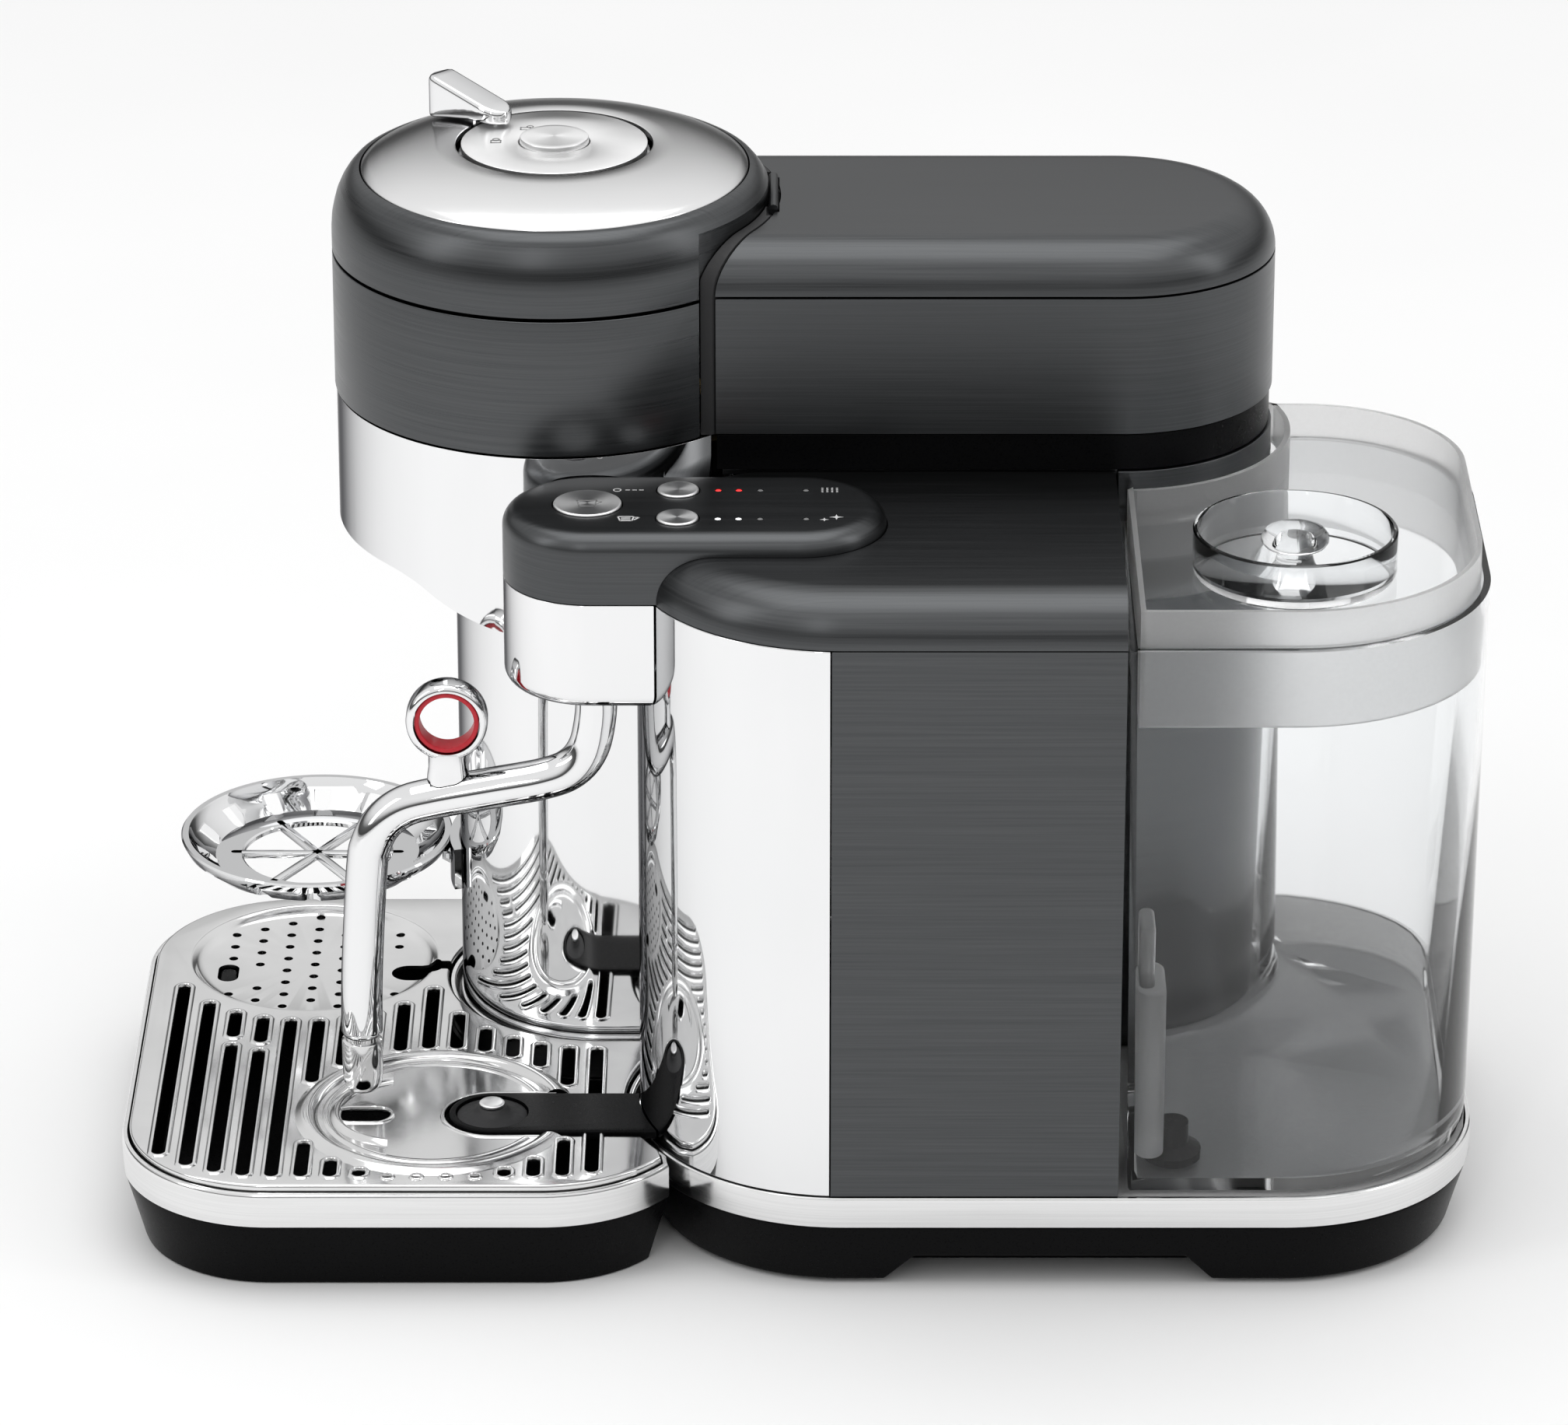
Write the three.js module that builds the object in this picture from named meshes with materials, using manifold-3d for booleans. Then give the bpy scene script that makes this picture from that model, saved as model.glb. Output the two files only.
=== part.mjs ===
// Pod coffee machine: brew side with a hinged head, milk side with a steam wand, rear water tank.
// Millimetres, +Z up. +X points to the machine's back, -Y to the milk side.
// The origin is on the table, at the centre of the overall box.

import * as THREE from 'three';
import { mergeVertices } from 'three/addons/utils/BufferGeometryUtils.js';
import Module from 'manifold-3d';

const wasm = await Module();
wasm.setup();

// ---------- driving dimensions ----------
const gap = 0.4;              // between touching pieces
const headSides = 36;         // facets around the brew head
const slip = 0.5;             // around pieces that slide or turn
const dockGap = 1.5;          // drip tray to machine
const dockX = -92;            // where the tray ends on the far side of the column
const arcStep = 12;           // degrees per segment of an outline
const trayStep = 15;          // and of the drip tray's

const body = {                // milk-side body
  nearY: -113, frontX: 13.5, frontY: -49, rearX: 98.6, farY: -7,
  wall: 1.3, seamZ: 216, topZ: 231.5, fillet: 15, panelX: 9.6,
};
const base = {
  rearX: 212, farY: 102, cornerR: 62, plinthZ: 22.6, bandZ: 32.8, taper: 6, wall: 2.5,
  step: 0.8, floor: 2.5, footR: 9, footH: 1.2,
};
const head = { x: -76, y: 43, r: 70, bottomZ: 244, seamZ: 289, trimR: 66.7, trimX: -30.5 };
const column = { x: -62.5, r: 46.5, topZ: 184, rearX: -27, wall: 1.3 };
const arm = { r: 49.6, endX: 100, topZ: 305, fillet: 16, frameT: 3.2, wall: 2 };
const pod = { frontX: -63.5, rearX: 0, y: -49.5, r: 27, topZ: 238, fillet: 6, skin: 2.5, housingZ: 181 };
const tank = { frontX: 99.4, farY: 65, cornerR: 62, farCornerR: 52, bottomZ: 33.4, wall: 2.2, lidZ: 230, draft: 2 };
const tray = {
  frontX: -212, farY: 102, cornerR: 48, rearCornerX: -80, rimZ: 34, gridZ: 36.2, gridT: 1.6,
  bandT: 1.6, taper: 6, wall: 2.4, tipBlunt: 4,
};
const grid = {
  inset: 2.4, slotW: 4.2, pitch: 9, firstX: -199, lastX: -64, margin: 5.5,
  dishX: -158, dishY: 54.5, dishR: 41.5, dishDrop: 3, holeR: 1.5,
  restX: -114, restY: -60, restR: 41.7, restRise: 1.8, restW: 5,
};
const well = { x: 152, y: -50, r: 31.4, floorZ: 216, knobR: 10.5 };
const valve = { x: 116, y: -92 };
const sensor = { x: -96, y: -62, r: 11, slotHalf: 15, armHalf: 13.5, z: 37 };
const wand = {
  r: 6.5, pivotZ: 186, nearX: -79, nearZ: 146.3, farX: -112.5, farZ: 139.8, tipX: -137, tipZ: 39,
  ringX: -108.5, ringZ: 166.6, ringR: 12.7, ringDepth: 9,
};
const float = { x: -186, y: 48, half: 3, r: 2.7, room: 0.7 };
const finger = { fromX: -127, toX: -121, y: 48, r: 5.6, neckX: -100, neckHalf: 3 };
const eye = { fromX: -140, toX: -133, r: 5.2 };
const cup = { x: -156, y: 50, r: 44, topZ: 84, z: 74 };
const lever = { angle: 139, innerR: 20, outerR: 51, half: 5.5 };
const lidPart = { shoulderZ: 315, domeR: 61, discR: 29.1, discZ: 322.4, neckR: 30.9 };

// ---------- materials ----------
const paint = (color, roughness, metalness, opacity = 1) =>
  new THREE.MeshStandardMaterial({ color, roughness, metalness, opacity, transparent: opacity < 1 });
const look = {
  dark: paint(0x55585a, 0.4, 0.9),
  chrome: paint(0xe4e6e8, 0.08, 1),
  steel: paint(0xc9ccce, 0.25, 1),
  black: paint(0x131415, 0.55, 0),
  clear: paint(0xdfe6ea, 0.05, 0, 0.35),
  red: paint(0xc21f2c, 0.6, 0),
  rubber: paint(0x1b1b1c, 0.9, 0),
  light: paint(0xf4f1ee, 0.4, 0),
  board: paint(0x1f5a35, 0.6, 0),
  brass: paint(0xb08b46, 0.4, 1),
};

// ---------- outlines: lists of [x, y], anticlockwise ----------
const rad = (degrees) => degrees * Math.PI / 180;
const polar = (cx, cy, r, degrees) => [cx + r * Math.cos(rad(degrees)), cy + r * Math.sin(rad(degrees))];

function arc(cx, cy, r, from, to, step = arcStep) {
  const count = Math.max(2, Math.ceil(Math.abs(to - from) / step));
  return Array.from({ length: count + 1 }, (_, i) => polar(cx, cy, r, from + (to - from) * i / count));
}

const circle = (cx, cy, r, sides = 30) => arc(cx, cy, r, 0, 360, 360 / sides).slice(0, -1);

const box2 = (x0, y0, x1, y1) => [[x0, y0], [x1, y0], [x1, y1], [x0, y1]];

// a bar with round ends between two points
function pill(ax, ay, bx, by, r, step = arcStep) {
  const turn = Math.atan2(by - ay, bx - ax) * 180 / Math.PI;
  return [...arc(bx, by, r, turn - 90, turn + 90, step), ...arc(ax, ay, r, turn + 90, turn + 270, step)];
}

// moves every side inwards by d, keeping the number of points
function inset(points, d) {
  return points.map(([x, y], i) => {
    const [px, py] = points[(i + points.length - 1) % points.length];
    const [nx, ny] = points[(i + 1) % points.length];
    const a = new THREE.Vector2(x - px, y - py).normalize();
    const b = new THREE.Vector2(nx - x, ny - y).normalize();
    const scale = d / Math.max(0.3, 1 + a.dot(b));
    return [x - (a.y + b.y) * scale, y + (a.x + b.x) * scale];
  });
}

function meetCircles(ax, ay, ar, bx, by, br) {
  const d = Math.hypot(bx - ax, by - ay);
  const along = (ar * ar - br * br + d * d) / (2 * d);
  const off = Math.sqrt(ar * ar - along * along);
  const ux = (bx - ax) / d;
  const uy = (by - ay) / d;
  return [ax + ux * along + uy * off, ay + uy * along - ux * off];
}

const angleOf = ([x, y], cx, cy) => (Math.atan2(y - cy, x - cx) * 180 / Math.PI + 360) % 360;

// ---------- solids ----------
function shapeOf(points, holes = []) {
  const shape = new THREE.Shape(points.map(([x, y]) => new THREE.Vector2(x, y)));
  shape.holes = holes.map((hole) => new THREE.Path(hole.map(([x, y]) => new THREE.Vector2(x, y))));
  return shape;
}

function prism(points, z0, z1, holes = []) {
  const options = { depth: z1 - z0, bevelEnabled: false, steps: 1 };
  return new THREE.ExtrudeGeometry(shapeOf(points, holes), options).translate(0, 0, z0);
}

// stacked outlines with the same number of points, lowest first
function loft(rings) {
  const count = rings[0].points.length;
  const position = rings.flatMap(({ points, z }) => points.flatMap(([x, y]) => [x, y, z]));
  const index = [];
  for (let k = 0; k + 1 < rings.length; k++) {
    for (let i = 0; i < count; i++) {
      const a = k * count + i;
      const b = k * count + (i + 1) % count;
      index.push(a, b, b + count, a, b + count, a + count);
    }
  }
  const flat = (points) => THREE.ShapeUtils.triangulateShape(points.map((p) => new THREE.Vector2(...p)), []);
  const top = (rings.length - 1) * count;
  flat(rings[0].points).forEach(([a, b, c]) => index.push(c, b, a));
  flat(rings[rings.length - 1].points).forEach(([a, b, c]) => index.push(top + a, top + b, top + c));
  const geometry = new THREE.BufferGeometry();
  geometry.setAttribute('position', new THREE.Float32BufferAttribute(position, 3));
  geometry.setIndex(index);
  return geometry;
}

// an upright block whose top edge is rounded
function domed(points, z0, z1, fillet, steps = 4) {
  const rings = [{ points, z: z0 }];
  for (let i = 0; i <= steps; i++) {
    const t = rad(90 * i / steps);
    const ring = inset(points, fillet * (1 - Math.cos(t)));
    rings.push({ points: ring, z: z1 - fillet + fillet * Math.sin(t) });
  }
  return loft(rings);
}

const lathe = (profile, sides = 24) =>
  new THREE.LatheGeometry(profile.map(([r, z]) => new THREE.Vector2(r, z)), sides).rotateX(Math.PI / 2);

const rod = (r, z0, z1, sides = 18) => lathe([[0, z0], [r, z0], [r, z1], [0, z1]], sides);

const tubeRing = (r0, r1, z0, z1, sides = 24) =>
  lathe([[r0, z0], [r1, z0], [r1, z1], [r0, z1], [r0, z0]], sides);

const block = (x0, y0, z0, x1, y1, z1) => prism(box2(x0, y0, x1, y1), z0, z1);

function sweep(points, r, sides = 14, steps = 28) {
  const path = new THREE.CatmullRomCurve3(points.map((p) => new THREE.Vector3(...p)), false, 'centripetal');
  const section = shapeOf(circle(0, 0, r, sides));
  return new THREE.ExtrudeGeometry(section, { steps, bevelEnabled: false, extrudePath: path });
}

function toSolid(geometry) {
  const plain = geometry.clone();
  plain.deleteAttribute('normal');
  plain.deleteAttribute('uv');
  const merged = mergeVertices(plain, 1e-3);
  const index = [];
  for (let i = 0; i < merged.index.count; i += 3) {
    const [a, b, c] = [merged.index.getX(i), merged.index.getX(i + 1), merged.index.getX(i + 2)];
    if (a !== b && b !== c && c !== a) index.push(a, b, c);
  }
  return new wasm.Manifold(new wasm.Mesh({
    numProp: 3,
    vertProperties: new Float32Array(merged.attributes.position.array),
    triVerts: new Uint32Array(index),
  }));
}

function toGeometry(solid) {
  const mesh = solid.getMesh();
  const geometry = new THREE.BufferGeometry();
  geometry.setAttribute('position', new THREE.BufferAttribute(new Float32Array(mesh.vertProperties), 3));
  geometry.setIndex(new THREE.BufferAttribute(new Uint32Array(mesh.triVerts), 1));
  return geometry;
}

const cut = (geometry, ...tools) =>
  toGeometry(tools.reduce((solid, tool) => solid.subtract(toSolid(tool)), toSolid(geometry)));
const join = (geometry, ...others) =>
  toGeometry(others.reduce((solid, other) => solid.add(toSolid(other)), toSolid(geometry)));
const common = (a, b) => toGeometry(toSolid(a).intersect(toSolid(b)));

const group = new THREE.Group();

function add(name, geometry, material, position = [0, 0, 0]) {
  const mesh = new THREE.Mesh(geometry, material);
  mesh.name = name;
  mesh.position.set(...position);
  group.add(mesh);
}

// ---------- shared outlines ----------
const bodyR = body.frontY - body.nearY - base.step;
const bodyFront = (r, from, to) => arc(body.frontX, body.frontY, r, from, to, 11);
const farAngle = (r, y) => 180 - Math.asin((y - body.frontY) / r) * 180 / Math.PI;
const bodyPlane = body.frontY - bodyR;

// milk-side body seen from above
const bodyOutline = [
  ...bodyFront(bodyR, farAngle(bodyR, body.farY), 270),
  [body.rearX, bodyPlane], [body.rearX, body.farY],
];

const pillY = (r) => [head.y - r, head.y + r];
const columnOutline = [
  [column.rearX, pillY(column.r)[1]],
  ...arc(column.x, head.y, column.r, 90, 270, 12),
  [column.rearX, pillY(column.r)[0]],
];

const armOutline = (r, frontX) => [
  [frontX, pillY(r)[0]], ...arc(arm.endX, head.y, r, -90, 90, 12), [frontX, pillY(r)[1]],
];

const columnAngle = (r, x) => Math.acos((x - column.x) / r) * 180 / Math.PI;

// where the milk-side body's circle meets the column: its angle on the body, then on the column
function bodyToColumn(bodyCircleR, columnR) {
  const angle = farAngle(bodyCircleR, head.y - columnR);
  if (polar(body.frontX, body.frontY, bodyCircleR, angle)[0] > column.x) return [angle, 270];
  const meet = meetCircles(column.x, head.y, columnR, body.frontX, body.frontY, bodyCircleR);
  return [angleOf(meet, body.frontX, body.frontY), angleOf(meet, column.x, head.y)];
}

// machine base seen from above: it follows the body and the column where the tray docks
function baseOutline() {
  const r = body.frontY - body.nearY;
  const columnR = column.r + base.step;
  const [fromBody, fromColumn] = bodyToColumn(r, columnR);
  const corner = base.rearX - base.cornerR;
  return [
    ...arc(corner, body.nearY + base.cornerR, base.cornerR, -90, 0),
    ...arc(corner, base.farY - base.cornerR, base.cornerR, 0, 90),
    [dockX + gap, base.farY],
    ...arc(column.x, head.y, columnR, columnAngle(columnR, dockX + gap), fromColumn, 12),
    ...bodyFront(r, fromBody, 270),
  ];
}

// the drip tray's arcs, each as centre, radius, first and last angle; d moves them all inwards
function trayArcs(d) {
  const bodySide = body.frontY - body.nearY + dockGap + d;
  const columnR = column.r + base.step + dockGap + d;
  const cornerR = tray.cornerR - d;
  const left = tray.frontX + tray.cornerR;
  const nearCentre = body.nearY + tray.cornerR;
  const tip = meetCircles(tray.rearCornerX, nearCentre, cornerR, body.frontX, body.frontY, bodySide);
  const tipFromCorner = angleOf(tip, tray.rearCornerX, nearCentre) - 360 - tray.tipBlunt;
  const tipFromBody = angleOf(tip, body.frontX, body.frontY) - tray.tipBlunt;
  const [fromBody, fromColumn] = bodyToColumn(bodySide, columnR);
  return [
    [tray.rearCornerX, nearCentre, cornerR, -90, tipFromCorner],
    [body.frontX, body.frontY, bodySide, tipFromBody, fromBody],
    [column.x, head.y, columnR, fromColumn, columnAngle(columnR, dockX - dockGap - d)],
    [left, tray.farY - tray.cornerR, cornerR, 90, 180],
    [left, nearCentre, cornerR, 180, 270],
  ];
}

// the tray seen from above, d inside its edge, with the same number of points at every d
function trayOutline(d = 0) {
  const counts = trayArcs(0).map(([, , , from, to]) => Math.ceil(Math.abs(to - from) / trayStep));
  const arcs = trayArcs(d).map(([x, y, r, from, to], i) =>
    arc(x, y, r, from, to, Math.abs(to - from) / (counts[i] - 0.5)));
  arcs[2].push([dockX - dockGap - d, tray.farY - d]);
  return arcs.flat();
}

function tankOutline() {
  const { farY } = tank;
  const corner = base.rearX - tank.cornerR;
  const hollowR = arm.r + 1.6;
  const farAt = Math.asin((farY - head.y) / hollowR) * 180 / Math.PI;
  const nearAt = -90 - Math.asin((arm.endX - tank.frontX) / hollowR) * 180 / Math.PI;
  return [
    [tank.frontX, bodyPlane],
    ...arc(corner, bodyPlane + tank.cornerR, tank.cornerR, -90, 0, 15),
    ...arc(base.rearX - tank.farCornerR, farY - tank.farCornerR, tank.farCornerR, 0, 90, 15),
    ...arc(arm.endX, head.y, hollowR, farAt, nearAt, 12),
  ];
}

const bodyClear = inset(bodyOutline, -gap);
const podOutline = pill(pod.frontX, pod.y, pod.rearX, pod.y, pod.r);
const headRod = (r, z0, z1) => rod(r, z0, z1, headSides).translate(head.x, head.y, 0);

// ---------- base ----------
function buildBase() {
  const outline = baseOutline();
  const footTop = base.footH;
  const outside = loft([
    { points: inset(outline, base.taper), z: footTop },
    { points: inset(outline, 0.6), z: base.plinthZ - gap },
  ]);
  const inside = loft([
    { points: inset(outline, base.taper + base.wall), z: footTop + base.floor },
    { points: inset(outline, base.wall + 0.6), z: base.plinthZ },
  ]);
  const lift = prism([[24, -5], [131, -5], [120, 11], [36, 11]], body.nearY - 1, body.nearY + 24);
  const notch = lift.clone().rotateX(Math.PI / 2).translate(0, 2 * body.nearY + 23, 0);
  const plate = block(20, body.nearY + base.taper - 1, footTop, 135, body.nearY + 27, 13.5);
  const hollow = prism(inset(outline, base.taper + base.wall), footTop + base.floor, 14);
  const bridge = cut(plate, hollow.clone().translate(0, 26, 0));
  const shell = cut(join(cut(outside, inside), common(bridge, outside)), notch);
  add('base_plinth', shell, look.black);

  add('base_band', prism(outline, base.plinthZ, base.bandZ, [inset(outline, 1.5)]), look.chrome);
  const deck = prism(inset(outline, 1.5 + gap), base.bandZ - 4, base.bandZ - 0.2);
  add('base_deck', deck, look.black);

  const strips = { foot_front: [-4, -84, -4, 74], foot_rear: [156, -78, 156, 68] };
  for (const [name, [ax, ay, bx, by]] of Object.entries(strips)) {
    add(name, prism(pill(ax, ay, bx, by, base.footR, 30), 0, footTop - 0.3), look.rubber);
  }
}

// ---------- milk-side body ----------
function buildBody() {
  const z0 = base.bandZ + gap;
  const z1 = body.seamZ - gap;
  const seam = 180 + Math.acos((body.frontX - body.panelX) / bodyR) * 180 / Math.PI;
  const from = farAngle(bodyR, head.y - column.r - gap);
  const wrap = [
    ...bodyFront(bodyR, from, seam),
    ...bodyFront(bodyR - body.wall, seam, from + 1),
  ];
  add('front_wrap', prism(wrap, z0, z1), look.chrome);

  const inner = bodyPlane + body.wall;
  const x0 = body.panelX + gap;
  const x1 = body.rearX;
  const panel = [
    [x0, bodyPlane], [x1, bodyPlane], [x1, body.farY], [x1 - body.wall, body.farY],
    [x1 - body.wall, inner], [x0, inner],
  ];
  add('side_panel', prism(panel, z0, z1), look.dark);

  const outside = domed(bodyOutline, body.seamZ, body.topZ, body.fillet, 5);
  const square = prism(box2(-70, body.farY - 40, body.rearX, body.farY), body.seamZ, body.topZ);
  const rearEdge = prism(box2(body.rearX - 30, bodyPlane, body.rearX, body.farY), body.seamZ, body.topZ);
  const plain = domed([
    ...bodyFront(bodyR, 150, 270), [body.rearX + 40, bodyPlane], [body.rearX + 40, body.farY + 40],
    [-30, body.farY + 40],
  ], body.seamZ, body.topZ, body.fillet, 5);
  const full = join(outside, common(plain, square), common(plain, rearEdge));
  const limit = prism(bodyOutline, body.seamZ, body.topZ + 1);
  const hollow = prism(inset(bodyOutline, 14), body.seamZ - 1, body.topZ - 2.5);
  const slot = prism(inset(podOutline, -gap), body.seamZ - 1, body.topZ + 1);
  const around = headRod(head.r + gap, body.seamZ - 1, body.topZ + 1);
  add('top_cover', cut(common(full, limit), hollow, slot, around), look.dark);
}

// ---------- brew column, rear column and arm seat ----------
function buildColumns() {
  const z0 = base.bandZ + gap;
  const columnInner = [
    [column.rearX + 1, pillY(column.r - column.wall)[1]],
    ...arc(column.x, head.y, column.r - column.wall, 90, 270, 12),
    [column.rearX + 1, pillY(column.r - column.wall)[0]],
  ];
  const shell = cut(
    prism(columnOutline, z0, column.topZ),
    prism(columnInner, z0 - 1, column.topZ + 1),
  );
  add('brew_column', shell, look.chrome);

  const frontX = column.rearX + gap;
  const outer = prism(armOutline(arm.r, frontX), z0, body.topZ);
  const inner = prism(armOutline(arm.r - column.wall, frontX - 1), z0 - 1, body.topZ - 2);
  const nearWall = block(frontX - 1, pillY(arm.r)[0] - 1, z0 - 1, body.rearX + 0.8, body.farY + 3, body.topZ + 1);
  const underHead = headRod(head.r + gap, column.topZ - 1, body.topZ + 1);
  add('rear_column', cut(outer, inner, nearWall, underHead), look.dark);

  const skirt = prism(armOutline(arm.r - 0.8, frontX - 6), body.topZ + gap, head.bottomZ - gap);
  add('arm_skirt', cut(skirt, headRod(head.r + gap, body.topZ, head.bottomZ)), look.black);
}

// ---------- raised control pod over the steam housing ----------
const buttons = {
  coffee_button: [-64.4, 0, 10.5],
  temperature_button: [-36.8, 11.3, 6.4],
  froth_button: [-36.8, -11.3, 6.4],
};
const lightX = [-24.5, -18.2, -11.6, 2.4];
const lightOffset = 11.6;

function buildPod() {
  const outside = domed(podOutline, body.seamZ, pod.topZ, pod.fillet, 4);
  const hollow = prism(inset(podOutline, pod.skin), body.seamZ - 1, pod.topZ - pod.skin - 1.5);
  const holes = Object.values(buttons).map(([x, dy, r]) =>
    rod(r + slip, pod.topZ - 9, pod.topZ + 1, 16).translate(x, pod.y + dy, 0));
  const windows = [-1, 1].flatMap((side) => lightX.map((x) =>
    rod(1.4, pod.topZ - 9, pod.topZ + 1, 6).translate(x, pod.y + side * lightOffset, 0)));
  const around = headRod(head.r + gap, body.seamZ - 1, pod.topZ + 1);
  add('control_pod', cut(outside, hollow, around, ...holes, ...windows), look.dark);

  const skinZ = pod.topZ - pod.skin - 1.5;
  for (const [name, [x, dy, r]] of Object.entries(buttons)) {
    const profile = [
      [0, skinZ - 5], [r + 1.6, skinZ - 5], [r + 1.6, skinZ - 3.2], [r, skinZ - 3.2],
      [r, pod.topZ + 0.4], [r - 0.5, pod.topZ + 0.8], [0, pod.topZ + 0.5],
    ];
    add(name, lathe(profile, 16), look.steel, [x, pod.y + dy, 0]);
  }
  for (const [name, side] of [['lights_near', -1], ['lights_far', 1]]) {
    const y = pod.y + side * lightOffset;
    const bar = block(lightX[0] - 2.5, y - 2, skinZ - 3, lightX[3] + 2.5, y + 2, skinZ - 0.4);
    const pips = lightX.map((x) => rod(1, skinZ - 1, pod.topZ + 0.1, 6).translate(x, y, 0));
    add(name, join(bar, ...pips), look.light);
  }
  add('panel_board', block(-76, -66, skinZ - 11, 14, -30, skinZ - 9.4), look.board);
}

function buildHousing() {
  const z1 = body.seamZ - gap;
  const long = pill(pod.frontX, pod.y, -20, pod.y, pod.r);
  const edge = 5;
  const rings = [45, 20, 0].map((a) => ({
    points: inset(long, edge * (1 - Math.cos(rad(a)))), z: pod.housingZ + edge * (1 - Math.sin(rad(a))),
  }));
  const bottom = { points: inset(long, edge), z: pod.housingZ };
  const outside = loft([bottom, ...rings, { points: long, z: z1 }]);
  const hollow = prism(inset(long, 2), pod.housingZ + edge + 0.5, z1 + 1);
  const low = prism(inset(long, edge + 1), pod.housingZ + 2, z1);
  const nearBody = prism(circle(body.frontX, body.frontY, bodyR + gap, 45), 0, 300);
  const hole = rod(9, 0, 300, 20).translate(pod.frontX + 1, pod.y, 0);
  add('steam_housing', cut(outside, hollow, low, nearBody, hole), look.chrome);
}

// ---------- brew head ----------
const rearTrim = (z0, z1) => {
  const ring = tubeRing(head.trimR, head.r + 12, z0, z1, headSides).translate(head.x, head.y, 0);
  return common(ring, block(head.trimX, head.y - 60, z0, 20, head.y + 60, z1));
};

function buildHead() {
  const drum = lathe([
    [head.r, head.bottomZ + gap], [head.r, head.seamZ - gap], [46, head.seamZ - gap], [46, 253],
    [14.6, 253], [14.6, 250], [48.5, 250], [48.5, 285.5], [67, 285.5], [67, head.bottomZ + gap],
    [head.r, head.bottomZ + gap],
  ], headSides).translate(head.x, head.y, 0);
  add('head_drum', cut(drum, rearTrim(head.bottomZ - 1, head.seamZ + 1)), look.dark);

  const r = head.r - 0.5;
  const floor = (drop) => [
    [-160, 250], [-160, 206 + drop], [-146, 200 + drop], [-122, 198.5 + drop],
    [-108, 190 + drop], [-92, column.topZ + gap + drop], [10, column.topZ + gap + drop], [10, 250],
  ];
  const side = (points) => prism(points, -80, 80).rotateX(Math.PI / 2).translate(0, head.y, 0);
  const outside = common(headRod(r, 180, head.bottomZ - gap), side(floor(0)));
  const inside = common(headRod(r - 2.2, 180, head.bottomZ + 1), side(floor(2.4)));
  const nearBody = prism(circle(body.frontX, body.frontY, bodyR + gap, 45), 100, body.seamZ + gap);
  const housing = prism(inset(pill(pod.frontX, pod.y, -20, pod.y, pod.r), -gap), 100, body.seamZ + gap);
  const rear = prism(armOutline(arm.r + gap, column.rearX), 100, head.bottomZ + 1);
  const outlet = rod(6, 150, 240, 16).translate(-134, head.y, 0);
  const well = rod(20, 150, 230, 20).translate(column.x, head.y, 0);
  const bowl = cut(outside, inside, nearBody, housing, rear, outlet, well);
  add('head_bowl', bowl, look.chrome);
  const spout = tubeRing(3.2, 5.6, 190, 206, 16);
  add('coffee_spout', spout, look.black, [-134, head.y, 0]);

  add('frame_gasket', buildFrame(), look.rubber);
}

const armFull = (grow, frontX = -60) =>
  domed(inset(armOutline(arm.r, frontX), -grow), head.bottomZ, arm.topZ + grow, arm.fillet, 4);

function buildFrame() {
  const ring = tubeRing(head.trimR + gap, head.trimR + gap + arm.frameT, head.bottomZ, 320, headSides);
  const proud = common(armFull(0.3), ring.translate(head.x, head.y, 0));
  const ahead = block(head.trimX + gap, -20, 200, 30, 110, 330);
  const opening = block(-60, head.y - 38, 200, 60, head.y + 38, 291);
  const pin = rod(2.2, -20, 20, 12).rotateX(Math.PI / 2).translate(hinge.x, head.y, hinge.z);
  return cut(common(proud, ahead), opening, pin);
}

const hinge = { x: head.x + head.trimR + 1.6, z: arm.topZ + 0.6, r: 1.5, half: 15 };

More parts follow.
